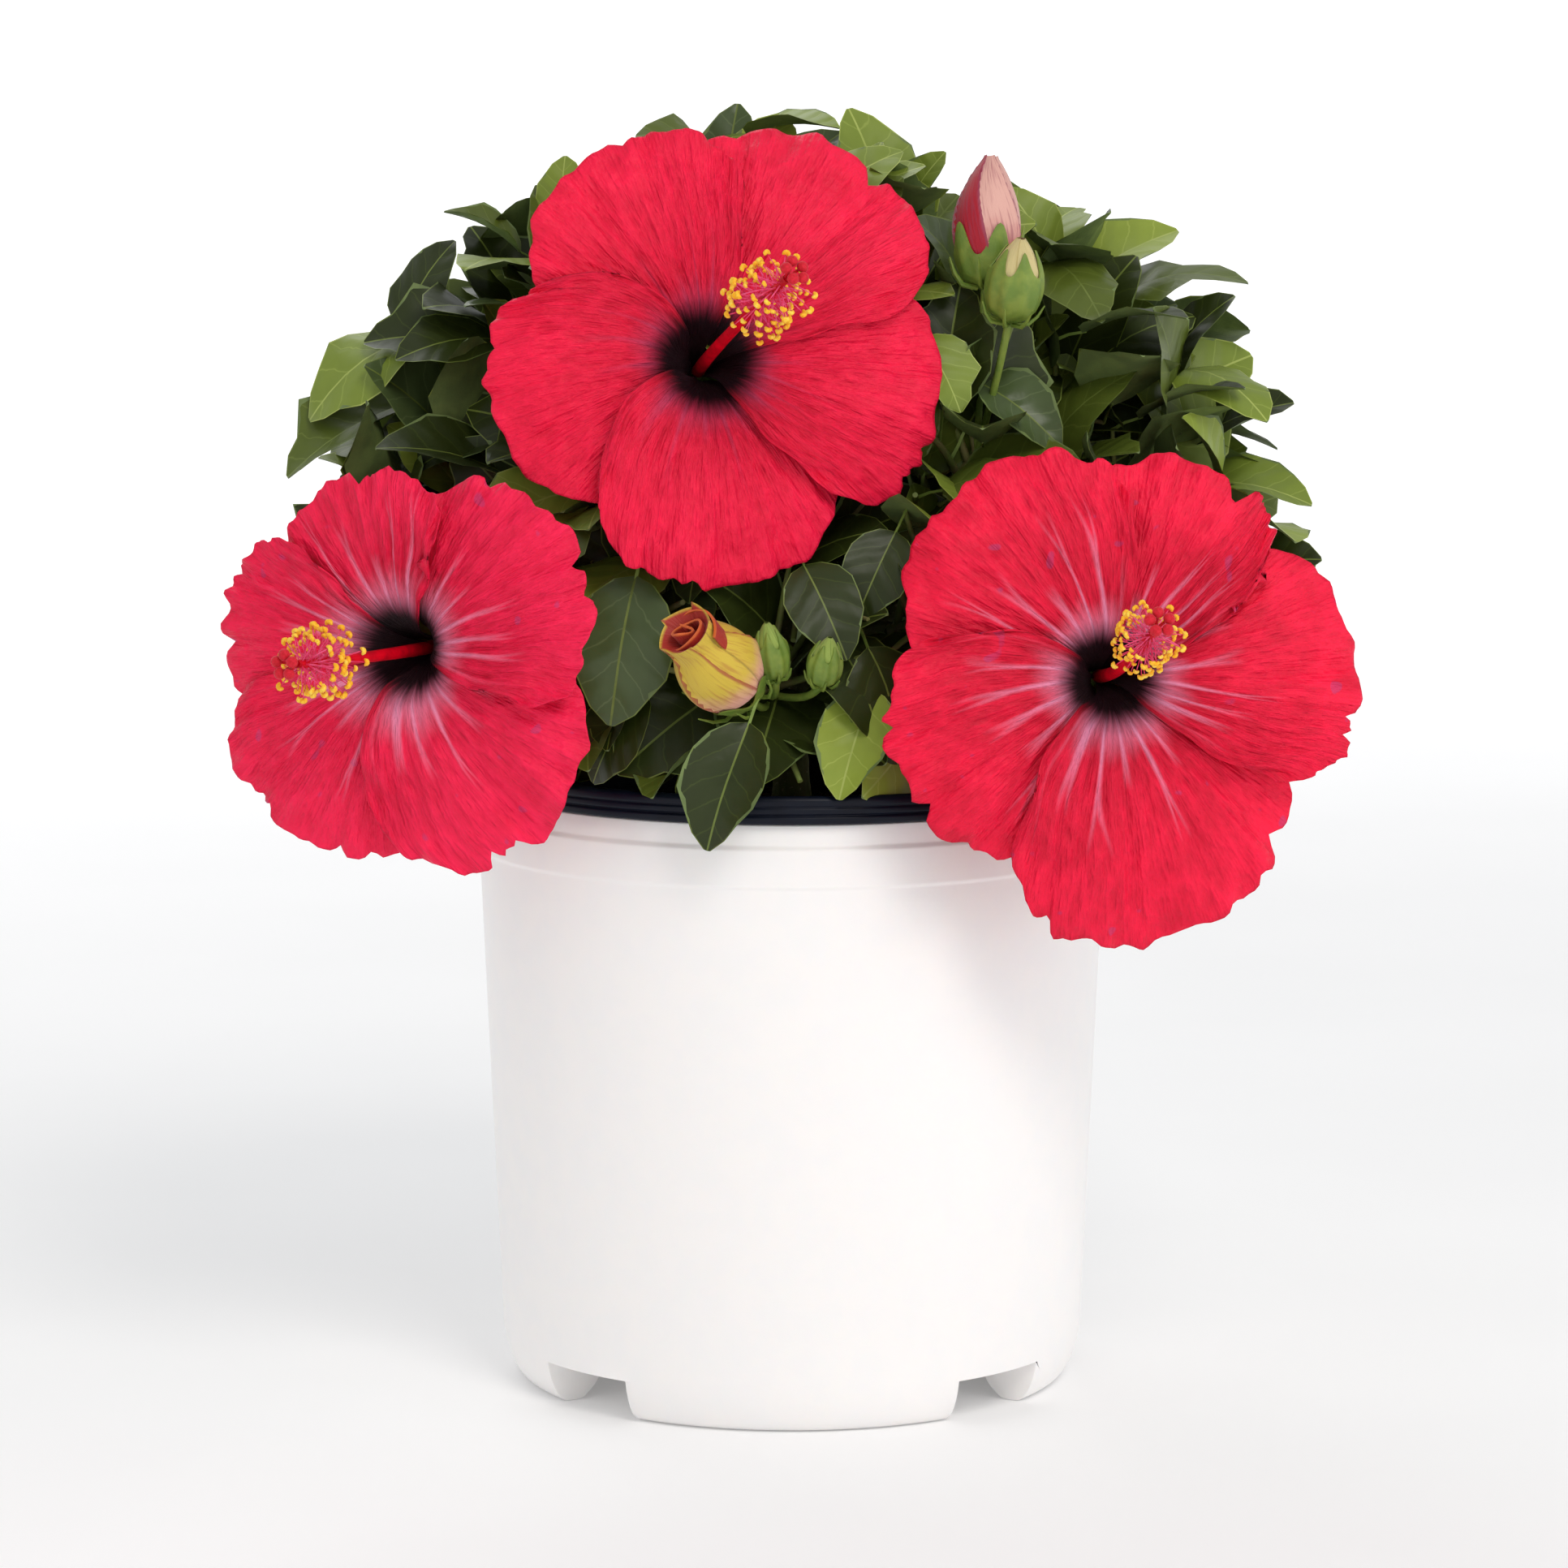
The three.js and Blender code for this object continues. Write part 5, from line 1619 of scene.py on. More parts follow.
@dataclass(frozen=True)
class LeafShape:
    """One outline and set of a hibiscus leaf: an egg-shaped blade with coarse teeth, on a short stalk."""

    width: float = 38.0
    cup: float = 0.05  # how far each edge rises, as a share of the width
    droop: float = 8.0  # how far the tip falls
    twist: float = 0.0  # turn from the base to the tip, in degrees
    wave: float = 2.2
    broad: float = 0.82  # below 1 it is widest nearer the stalk
    teeth: float = 0.9
    shoulder: float = 0.0  # depth of the shallow lobes at the sides
    vee: float = 0.03  # how far the midrib lies below the blade beside it
    arch: float = 3.0  # how far the middle stands up between the stalk and the tip
    blade: float = 52.0
    stalk: float = 14.0
    thickness: float = 0.8
    stations: Sequence[float] = (0.0, 0.05, 0.17, 0.32, 0.48, 0.64, 0.79, 0.91, 1.0)

    def built(self, name: str) -> Piece:
        """The leaf along X with its upper side to Z, as one closed blade and its stalk.

        Args:
            name: the shape's name.

        Returns:
            The shape, with its faces numbered by their part.
        """
        top, bottom = [], []
        for i, s in enumerate(self.stations):
            half = self.half_width(i, s)
            strip, rib = min(0.55, half * 0.4), min(0.42, half * 0.25)
            mid = half * 0.52
            top += [self.at(s, y) for y in (-half, strip - half, -mid, -rib, rib, mid, half - strip, half)]
            bottom += [self.at(s, y) - UP * self.thickness * (1 - 0.4 * abs(y) / max(mid, 1))
                       for y in (-mid, 0.0, mid)]
        columns, rows = 8, len(self.stations)
        under = rows * columns
        parts: dict[LeafPart, Faces] = {part: [] for part in LeafPart}
        for i in range(rows - 1):
            for k in range(columns - 1):
                a = i * columns + k
                part = LeafPart.MARGIN if k in (0, 3, 6) else LeafPart.BLADE
                parts[part].append((a, a + columns, a + columns + 1, a + 1))
            lower = [i * columns, *range(under + 3 * i, under + 3 * i + 3), (i + 1) * columns - 1]
            after = [a + (columns if a < under else 3) for a in lower]
            parts[LeafPart.UNDERSIDE] += [(lower[k], lower[k + 1], after[k + 1], after[k]) for k in range(4)]
        last = under + 3 * rows - 3
        parts[LeafPart.UNDERSIDE] += [(*range(columns), under + 2, under + 1, under),
                                      (*reversed(range(under - columns, under)), last, last + 1, last + 2)]
        points = np.array([*top, *bottom])
        place = np.stack([(points[:, 0] - self.stalk) / self.blade, points[:, 1] / self.width + 0.5], 1)
        blade = Body(points, sum(parts.values(), []), [part for part in parts for _ in parts[part]], place)
        line = Curve(Vector((-1.0, 0.0, 0.0)), Vector((self.stalk * 0.5, 0.0, 1.6)),
                     Vector((self.stalk + 2, 0, -0.4)))
        return built(name, [], [blade, tube(line.points(3), [0.95, 0.75, 0.7], 3, LeafPart.STALK)], 60)

    def half_width(self, station: int, s: float) -> float:
        """Half the blade's width with its teeth.

        Args:
            station: the number of the station along it.
            s: the share of its length.

        Returns:
            The half width.
        """
        half = self.width / 2 * math.sin(math.pi * s ** self.broad) ** 0.64 if 0 < s < 1 else 0.0
        if 4 <= station <= 7:
            half += self.teeth * (0.6 if station % 2 else -0.4)
        half += self.shoulder * (1.0 if station == 5 else -0.8 if station == 6 else 0.0)
        return max(half, 0.6 if s < 0.5 else 1.5)

    def at(self, s: float, y: float) -> Vector:
        """A point of the blade.

        Args:
            s: the share of its length.
            y: the distance across from the midrib.

        Returns:
            The point.
        """
        side = y / (self.width / 2)
        z = self.width * (self.vee * min(abs(side) / 0.3, 1.0) + self.cup * side ** 2)
        z += self.arch * math.sin(math.pi * s)
        z += self.wave * math.sin(TURN * 1.4 * s + (0.0 if y > 0 else 2.0)) * side ** 2
        turn = math.radians(self.twist) * s
        y, z = y * math.cos(turn) - z * math.sin(turn), y * math.sin(turn) + z * math.cos(turn)
        along = self.blade * s * (1 - 0.35 * (self.droop / self.blade * s) ** 2)
        return Vector((self.stalk + along, y, z - self.droop * s ** 2))


@dataclass(frozen=True)
class Leader:
    """A leading leaf that shapes the outline or the middle of the crown."""

    mass: str
    start: float  # where on its mass's stem its twig starts
    base: Vector
    tip: Vector
    face: float  # how far it faces the viewer


# Hibiscus leaves, grown with a waxy skin: glossy, in the greens of old, full-grown and young ones. They are
# also dealt out as painted light and shade: the darkest mostly low down, the lighter ones high up and to the
# right.
BLADES = [LeafFinish(f"hibiscus_leaf_{n}", gloss, 1.45, tone, light, vein)
          for n, (tone, light, vein, gloss) in enumerate((
              ("#232c0c", "#2f3911", "#46531d", 0.4), ("#4a571c", "#5a6824", "#73813a", 0.4),
              ("#6c7d2b", "#7f9036", "#9aa94e", 0.42), ("#3e4b29", "#4e5e37", "#6b7a50", 0.3),
              ("#7f9033", "#93a341", "#adb95a", 0.42)))]
# The leaf's unwaxed back: paler and duller than the front.
UNDERSIDE = MottledFinish("leaf_underside", 0.55, 1.42, "#5f7040", "#6e8048", patch=9.0, grain=1.2,
                          relief=0.12)
# Its raised midrib and thin rim, smooth: a lighter green, paler still on young leaves and on the light greens
# that are dealt high up and to the right as painted light.
RIB = MottledFinish("leaf_margin_rib", 0.45, 1.42, "#6c7a34", "#606e2c", patch=6.0, relief=0.05)
PALE_RIB = replace(RIB, name="leaf_pale_rib", tone="#a3b058", other="#96a44c")
# Leaf stalks, round and smooth: fresh green with a satin shine.
STALK = MottledFinish("leaf_stalk", 0.5, 1.42, "#6c8236", "#7d9342", patch=7.0, relief=0.06)
# Soft twigs of this year with the start of bark: green turning brown in patches, nearly matt.
TWIG = MottledFinish("green_twig_skin", 0.55, 1.42, "#6a7a38", "#7b7448", patch=9.0, grain=0.9, relief=0.12)
# Older wood under a thin bark: nearly matt green-brown, dotted and cracked along its length.
BARK = BarkFinish("green_hibiscus_bark", 0.75, 1.45)


@dataclass
class Crown:
    """What the masses of foliage share: the leaves' shapes and finishes, and the room that there is."""

    habit: Habit
    masses: Sequence[Mass]
    leaders: Sequence[Leader]
    limbs: Limbs
    blooms: Sequence[Bloom]
    buds: Sequence[Bud]
    camera: Vector
    sky: Sequence[Triple]  # gaps: where they cross the plane y = 0, and their radius
    lowest: float = 233.0
    rim_radius: float = 121.0
    rim_height: float = 233.5
    apart: float = 19.0  # from the middle of one leaf to the middle of the next
    overlap: float = 14.0  # how far a leaf may reach into the next mass's space
    length: float = LeafShape.stalk + LeafShape.blade
    half: float = 15.0  # how far to each side of its midrib a leaf's room is tested
    centre: float = 0.62  # where the middle of its blade lies, as a share of its length
    bud_room: float = 1.25  # what stays clear before a bud, as a share of its radius
    shapes: Sequence[LeafShape] = (
        LeafShape(),
        LeafShape(42, 0.13, 5, 10, 1.8, 0.78),
        LeafShape(37, -0.06, 13, -12, 3.0, 0.88),
        LeafShape(40, 0.18, 4, 6, 2.2, shoulder=2.2),
        LeafShape(39, -0.1, 16, 12, 2.6, teeth=1.2),
        LeafShape(44, 0.06, 9, -8, 2.0, 0.84, shoulder=3.0),
        LeafShape(34, 0.22, 7, 18, 2.4, 0.86),
        LeafShape(41, -0.03, 18, -16, 3.4, teeth=1.1),
    )

    def __post_init__(self) -> None:
        """Makes the finishes and the shapes of the leaves."""
        self.centres = np.array([self.habit.heart + mass.way() * self.habit.middle * mass.reach
                                 for mass in self.masses])
        self.middles: list[tuple[Vector, float]] = []
        pale = PALE_RIB.made()
        coats = [*(Coat(blade.made(), LeafPart.BLADE, n) for n, blade in enumerate(BLADES)),
                 Coat(UNDERSIDE.made(), LeafPart.UNDERSIDE), Coat(RIB.made(), LeafPart.MARGIN),
                 Coat(pale, LeafPart.MARGIN, 2), Coat(pale, LeafPart.MARGIN, 4),
                 Coat(STALK.made(), LeafPart.STALK)]
        made = [shape.built(f"leaf_shape_{n}") for n, shape in enumerate(self.shapes)]
        self.scatter = Scatter("leaves", made, coats)
        self.wood = TWIG.made()

    def stem(self, mass: Mass) -> Curve:
        """The stem that a mass's bough runs on into.

        Args:
            mass: the mass.

        Returns:
            Its stem.
        """
        entry = self.habit.heart + mass.way() * self.habit.entry * mass.reach
        start = entry + self.limbs.curves[mass.name].tangent(1) * self.habit.clearance
        return Curve.straight(start, self.habit.heart + mass.way() * (mass.reach - self.habit.lead))

    def middle(self, leaf: Spot) -> Vector:
        """The middle of a leaf's blade."""
        return leaf.root + leaf.way * self.length * self.centre * leaf.size

    def takes(self, leaf: Spot) -> bool:
        """Notes down a leaf's middle, unless it is too near another's.

        Args:
            leaf: where the leaf stands.

        Returns:
            Whether there is room for it.
        """
        middle = self.middle(leaf)
        if any((middle - other).length < self.apart * (leaf.size + size) / 2 for other, size in self.middles):
            return False
        self.middles.append((middle, leaf.size))
        return True

    def hits_pot(self, points: np.ndarray) -> bool:
        """True if any of the points lies too low or over the pot's rim."""
        low = (points[:, 2] < self.rim_height) & (np.hypot(points[:, 0], points[:, 1]) < self.rim_radius)
        return bool(points[:, 2].min() < self.lowest or np.any(low))

    def strays(self, mass: Mass, points: np.ndarray) -> bool:
        """Tells if any of the points lies too far into the space of the next mass.

        Args:
            mass: the mass that they belong to.
            points: the points.

        Returns:
            Whether one does.
        """
        number = self.masses.index(mass)
        own = self.centres[number]
        gaps = np.linalg.norm(points[:, None] - self.centres[None], axis=2) ** 2
        mine = np.linalg.norm(points - own, axis=1) ** 2
        away = 2 * np.maximum(np.linalg.norm(self.centres - own, axis=1), 1e-6)
        lead = (gaps - mine[:, None]) / away[None]
        lead[:, number] = np.inf
        return bool(lead.min() < -self.overlap)

    def hides(self, points: np.ndarray) -> bool:
        """Tells if any of the points lies in a bloom, or before a bloom, a bud or a gap in the crown.

        Args:
            points: the points.

        Returns:
            Whether one does.
        """
        eye = np.array(self.camera)
        if any(bloom.covers(points, eye) for bloom in self.blooms):
            return True
        for bud in self.buds:
            middle = np.array(bud.base.lerp(bud.tip, 0.5))
            sight = (middle - eye) / np.linalg.norm(middle - eye)
            along = (points - eye) @ sight
            off = np.linalg.norm(points - eye - along[:, None] * sight, axis=1)
            before = along < np.linalg.norm(middle - eye) + bud.radius
            if np.any((off < bud.radius * self.bud_room) & before):
                return True
        share = eye[1] / (eye[1] - points[:, 1])
        seen = eye + (points - eye) * share[:, None]
        return any(np.any(np.hypot(seen[:, 0] - x, seen[:, 2] - z) < radius) for x, z, radius in self.sky)


@dataclass
class Foliage:
    """One mass of foliage as it grows: a stem, twigs, finer twigs, and leaves where there is room."""

    crown: Crown
    mass: Mass
    hang: float = 0.9  # how far the leaves droop low down
    front: float = 25.0  # leaves no farther back than this turn towards the viewer
    twig_margin: float = 8.0  # how far twigs stay within the reach
    ragged: float = 25.0  # how unevenly the leaves reach out
    turns: Sequence[float] = (0, 60, -60, 120, -120, 180)
    sizes: Sequence[float] = (1.0, 0.88)

    def __post_init__(self) -> None:
        """Starts with the bare stem."""
        self.habit = self.crown.habit
        self.stem = self.crown.stem(self.mass)
        self.wood = [(self.stem, self.habit.tip, self.habit.stem_tip)]  # each limb, and its ends' radii
        self.nodes: list[tuple[Curve, float, float, float, int]] = []  # limb, place, turn, size and spray
        self.leaves: list[Spot] = []

    def dealt(self, series: int, count: int) -> float:
        """A steady random number of this mass's own."""
        return chance(self.mass.seed + series, count)

    def build(self) -> None:
        """Grows the mass, then builds and dresses its wood and its leaves."""
        first = 360 * self.dealt(0, 0)
        for leader in self.crown.leaders:
            if leader.mass == self.mass.name:
                self.lead(leader)
        for n in range(self.habit.twigs):
            self.branch(n, first)
        self.nodes += [(self.stem, mix(0.98, 0.15, k / 7), GOLDEN * k + first, mix(0.85, 1, k / 7),
                        90 + k // 3) for k in range(8)]
        leafy = {id(node[0]) for count, node in enumerate(self.nodes) if self.set_leaf(count, *node)}
        twigs = []
        for curve, wide, narrow in self.wood:
            if wide > self.habit.shoot or id(curve) in leafy:
                steps = max(4, int(curve.length() / 6))
                twigs.append(tube(curve.points(steps), np.linspace(wide, narrow, steps), 7))
        name = self.mass.name
        dressed(built("twigs_" + name, [self.crown.wood], twigs, 60), "green_bark")
        dressed(self.crown.scatter.spread("leaves_" + name, self.leaves), "foliage", "foliage_" + name)
        LOG.info("leaves_%s: %d leaves", name, len(self.leaves))

    def branch(self, n: int, first: float) -> None:
        """Adds a twig with its finer twigs, and the nodes on them.

        Args:
            n: the twig's number.
            first: the turn of the first one round the stem, in degrees.
        """
        way, t = self.mass.way(), mix(0.06, 0.9, n / (self.habit.twigs - 1))
        side, across = square_to(way)
        angle = math.radians(self.habit.twig_lean + 16 * (self.dealt(0, n + 1) - 0.5))
        turn = math.radians(GOLDEN * n + first)
        goal = (way * math.cos(angle) + side * math.sin(angle) * math.cos(turn)
                + across * math.sin(angle) * math.sin(turn)) * self.habit.twig_length * mix(1, 0.75, t)
        start = self.stem.point(t)
        twig = Curve(start, start + goal * 0.5 + way * 3, start + goal)
        if not self.is_clear(twig):
            return
        self.wood.append((twig, self.habit.twig, self.habit.twig_tip))
        self.nodes += [(twig, mix(1.0, 0.22, k / 6), GOLDEN * (k + n), mix(0.85, 1, min(k / 3, 1)), n)
                       for k in range(7)]
        lean, along = math.radians(self.habit.shoot_lean), twig.tangent(0.5)
        for m in range(3):
            root = twig.point(mix(0.3, 0.85, m / 2))
            out = around(along, GOLDEN * (m + 2 * n)) * math.sin(lean) + along * math.cos(lean)
            shoot = Curve.straight(root, root + out * self.habit.shoot_length)
            if self.is_clear(shoot):
                self.wood.append((shoot, self.habit.shoot, self.habit.shoot_tip))
                self.nodes += [(shoot, mix(1.0, 0.35, k / 2), GOLDEN * (k + m), mix(0.8, 0.95, k / 2),
                                n * 9 + m) for k in range(3)]

    def is_clear(self, twig: Curve) -> bool:
        """Tells if a twig stays in reach and out of the pot, the blooms and the gaps.

        Args:
            twig: its middle line.

        Returns:
            Whether it does.
        """
        points = twig.points(5)
        return not (self.is_past(points, self.mass.reach - self.twig_margin) or self.crown.hits_pot(points)
                    or self.crown.hides(points))

    def is_past(self, points: np.ndarray, reach: float) -> bool:
        """True if any of the points lies farther from the heart than a reach."""
        return bool(np.any(np.linalg.norm(points - np.array(self.habit.heart), axis=1) > reach))

    def set_leaf(self, count: int, curve: Curve, t: float, turn: float, size: float, spray: int) -> bool:
        """Sets one leaf at the first turn and size that fit, or leaves it out.

        Args:
            count: its number in the mass.
            curve: its limb.
            t: how far along the limb.
            turn: the turn round the limb that comes first, in degrees.
            size: its size.
            spray: the number of its spray, whose leaves share a green.

        Returns:
            Whether it was set.
        """
        root, along = curve.point(t), curve.tangent(t)
        outward = (root - self.habit.heart).normalized()
        droop = self.hang * (1 - outward.z) * self.dealt(7, count)
        pull = outward * (0.25 + 0.4 * self.dealt(6, count))
        facing = VIEWER if root.y < self.front else -VIEWER
        tilt = heading(360 * self.dealt(8, count), 90 * (self.dealt(5, count) - 0.5))
        normal = outward * 0.5 + UP * 0.65 + facing * 0.5 + tilt * 0.45
        reach = self.mass.reach - 1 - self.ragged * self.dealt(11, count)
        kind, tint = self.kind(count), self.tint(root, spray)
        for less in self.sizes:
            for more in self.turns:
                way = (around(along, turn + more) + along * 0.3 + pull + UP * (0.15 - droop)).normalized()
                leaf = Spot(root, way, normal, size * less, kind, tint)
                if self.fits(leaf, reach) and self.crown.takes(leaf):
                    self.leaves.append(leaf)
                    return True
        return False

    def fits(self, leaf: Spot, reach: float) -> bool:
        """Tells if a leaf stays in reach and clear of the pot, the next mass, the blooms and the gaps.

        Args:
            leaf: where it stands.
            reach: how far from the heart it may reach.

        Returns:
            Whether it fits.
        """
        across = leaf.normal.cross(leaf.way).normalized()
        full, half = self.crown.length * leaf.size, self.crown.half * leaf.size
        points = np.array([leaf.root + leaf.way * full * along + across * half * side for along, side in (
            (0.35, 0), (0.45, -0.9), (0.45, 0.9), (0.65, -1), (0.65, 0), (0.65, 1), (0.85, -0.6), (0.85, 0.6),
            (1, 0))])
        return not (self.is_past(points, reach) or self.crown.hits_pot(points)
                    or self.crown.strays(self.mass, points) or self.crown.hides(points))

    def kind(self, count: int) -> int:
        """The number of the shape that a leaf is dealt."""
        return int(len(self.crown.shapes) * self.dealt(9, count))

    def tint(self, at: Vector, spray: int) -> int:
        """The green of one spray: lighter high up and to the right as painted light, darker low down as
        painted shade.

        Args:
            at: where it is.
            spray: its number in the mass.

        Returns:
            The number of its green.
        """
        dealt = self.dealt(300, spray)
        # Painted light: the share of light greens grows with height and towards the right; below it, the
        # darkest green stands for shade.
        high = min(max((at.z - 285) / 130, 0.0), 1.0)
        lights = mix(0.0, 0.5, high) + 0.14 * float(ease(60, 120, at.x))
        limits = ((2, lights), (4, lights + 0.05), (3, lights + mix(0.08, 0.16, high)),
                  (1, lights + mix(0.16, 0.5, high)))
        return next((tint for tint, limit in limits if dealt < limit), 0)

    def lead(self, leader: Leader) -> None:
        """Adds a leading leaf and the twig that carries it.

        Args:
            leader: the leaf.
        """
        span = leader.tip - leader.base
        way, size = span.normalized(), span.length / LeafShape.blade
        root = leader.base - way * LeafShape.stalk * size * 0.5
        outward = (leader.base - self.habit.heart).normalized()
        count = 500 + len(self.leaves)
        leaf = Spot(root, way, outward * 0.5 + UP + VIEWER * leader.face, size, self.kind(count),
                    self.tint(root, count))
        self.crown.middles.append((self.crown.middle(leaf), size * 1.3))
        self.leaves.append(leaf)
        start = self.stem.point(leader.start)
        self.wood.append((Curve(start, start.lerp(root, 0.5) + UP * 3, root + way), 1.5, 0.9))


# Studio paper, rolled smooth and unglazed: matt and nearly white.
PAPER = MottledFinish("matt_studio_paper", 0.9, 1.5, "#f1f1f1", "#f3f3f3", patch=300.0, grain=60.0,
                      relief=0.01, shine_spread=0.02)


@dataclass
class Studio:
    """A pale floor and backdrop, soft lights, and the camera at the photograph's angle."""

    eye: Vector = field(default_factory=lambda: Vector((-2.93, -2000.0, 491.1)))
    pitch: float = 7.735  # how far it looks down, in degrees
    lens: float = 125.5
    sensor: float = 36.0
    flat: float = 3200.0  # radius of the flat floor, which then curves up into the backdrop
    rise: float = 1600.0  # radius of that curve
    sweep: float = 64.0  # how far up it goes, in degrees
    daylight: float = 0.66  # strength of the even light from all round

    def build(self) -> None:
        """Builds the camera, the lights and the floor."""
        scene = bpy.context.scene
        scene.view_settings.view_transform = "Standard"
        data = bpy.data.cameras.new("camera")
        data.lens, data.sensor_width = self.lens, self.sensor
        data.clip_start, data.clip_end = 0.05, 100.0
        camera = placed("camera", data)
        camera.location = self.eye * MM
        camera.rotation_euler = (math.radians(90 - self.pitch), 0.0, 0.0)
        scene.camera = camera
        scene.world = bpy.data.worlds.new("studio")
        scene.world.use_nodes = True
        wire(scene.world.node_tree.nodes["Background"], {"Color": "#f4f5f7", "Strength": self.daylight})
        self.lamp("key", (0.7, -1.7, 1.9), 0.9, 19.0, "#fffaf4")
        self.lamp("fill", (1.6, -1.0, 0.7), 1.3, 4.0, "#f6f9ff")
        self.lamp("back", (-0.6, 1.4, 1.7), 1.2, 9.0, "#ffffff")
        self.floor()

    @staticmethod
    def lamp(name: str, at: Triple, size: float, power: float, tone: str) -> None:
        """Adds one soft light that faces the shrub.

        Args:
            name: its name.
            at: its place, in metres.
            size: how wide it is, in metres.
            power: its power, in watts.
            tone: its colour.
        """
        data = bpy.data.lights.new(name, "AREA")
        data.size, data.energy, data.color = size, power, linear(tone)[:3]
        light = placed(name, data)
        light.location = at
        aim = Vector((0.0, 0.0, 0.28)) - Vector(at)
        light.rotation_euler = aim.to_track_quat("-Z", "Y").to_euler()

    def floor(self) -> None:
        """Adds the pale floor, which runs up into a round backdrop and glows a little far off."""
        steps, thickness = 12, 4.0
        bend = [(self.flat + self.rise * math.sin(a), self.rise * (1 - math.cos(a)) - 0.2)
                for a in (math.radians(self.sweep) * n / steps for n in range(steps + 1))]
        edge, top = bend[-1]
        profile = [(0.0, -0.2), *bend, (edge + 20, top), (edge + 20, -thickness), (0.0, -thickness)]
        skin = PAPER.made()
        tree = skin.node_tree
        place = add_node(tree, "ShaderNodeTexCoord").node.outputs["Object"]
        away = add_node(tree, "ShaderNodeVectorMath", {0: place}, operation="LENGTH")
        glow = add_node(tree, RANGE, (away, 0.8, 3.0, 0.1, 0.5), **SMOOTH)
        wire(tree.nodes["Principled BSDF"], {"Emission Color": "#ffffff", "Emission Strength": glow})
        built("studio_floor", [skin], [turned(profile, 96)], 40)


def table_of_masses() -> list[Mass]:
    """The masses of foliage, each on its bough.

    Returns:
        The masses, from the first that grows to the last.
    """
    return [Mass(*row) for row in (
        ("top", -20, 87, 206, "trunk", 1, 3), ("left_low", -94, 20, 198, "trunk", 0.62, 11),
        ("right_low", 95, 21, 204, "trunk", 0.72, 12), ("front_low", -6, -3, 142, "trunk", 0.5, 5),
        ("back_left", -142, 17, 190, "trunk", 0.56, 21), ("back_right", 143, 16, 190, "trunk", 0.82, 22),
        ("left_high", -98, 49, 202, "top", 0.3, 31), ("right_high", 96, 45, 214, "right_low", 0.4, 32),
        ("front_left", -42, 14, 150, "left_low", 0.3, 41), ("front_right", 38, 13, 142, "right_low", 0.3, 42),
        ("front_mid", 4, 33, 122, "top", 0.14, 43), ("shoulder_left", -62, 38, 172, "left_low", 0.5, 51),
        ("shoulder_right", 50, 42, 172, "top", 0.22, 52), ("top_left", -84, 69, 201, "top", 0.62, 61),
        ("top_right", 92, 68, 196, "top", 0.76, 62), ("back_high_left", -150, 50, 190, "back_left", 0.45, 71),
        ("back_high_right", 150, 51, 190, "back_right", 0.45, 72),
        ("back_low", 180, 12, 178, "back_left", 0.35, 73))]


def table_of_leaders() -> list[Leader]:
    """The leading leaves, which follow the crown's outline and fill its middle.

    Returns:
        The leaves, in the order in which they are set.
    """
    return [Leader(mass, start, Vector(base), Vector(tip), face) for mass, start, base, tip, face in (
        ("top", 0.8, (-21, 0, 457), (12, -14, 463), 0), ("top", 0.9, (-21, -4, 446), (-46, -20, 465), 0.6),
        ("top", 0.95, (40, 0, 426), (51, -10, 449), 1),
        ("top_left", 0.8, (-83, -10, 419), (-84, -14, 446), 1),
        ("top_left", 0.95, (-95, -8, 413), (-120, -14, 431), 0.5),
        ("left_high", 0.7, (-144, 0, 381), (-130, -6, 416), 1.4),
        ("left_high", 0.9, (-127, -10, 387), (-174, -22, 372), 0.6),
        ("left_low", 0.8, (-134, -12, 364), (-178, -24, 341), 0.7),
        ("shoulder_left", 0.8, (-95, -45, 335), (-140, -60, 350), 0.5),
        ("shoulder_left", 0.9, (-65, -70, 335), (-110, -84, 328), 0.8),
        ("right_high", 0.8, (116, 0, 397), (155, -10, 415), 0.6),
        ("right_high", 0.6, (94, -10, 406), (85, -18, 436), 1.2),
        ("right_low", 0.8, (135, 0, 353), (129, -8, 394), 1.5),
        ("right_low", 0.9, (141, 0, 343), (176, -12, 361), 0.7),
        ("right_low", 0.95, (142, -10, 332), (183, -22, 329), 0.4),
        ("shoulder_right", 0.9, (62, -60, 374), (92, -72, 355), 1),
        ("shoulder_right", 0.8, (43, -70, 391), (58, -84, 368), 1.2),
        ("front_left", 0.8, (-53, -100, 313), (-64, -118, 265), 1.5),
        ("front_low", 0.7, (2, -98, 314), (17, -116, 285), 1.5),
        ("front_low", 0.95, (-13, -120, 263), (-28, -133, 221), 1.5),
        ("front_right", 0.9, (29, -104, 272), (18, -122, 237), 1.5),
        ("front_right", 0.8, (38, -92, 325), (24, -106, 297), 1.4))]


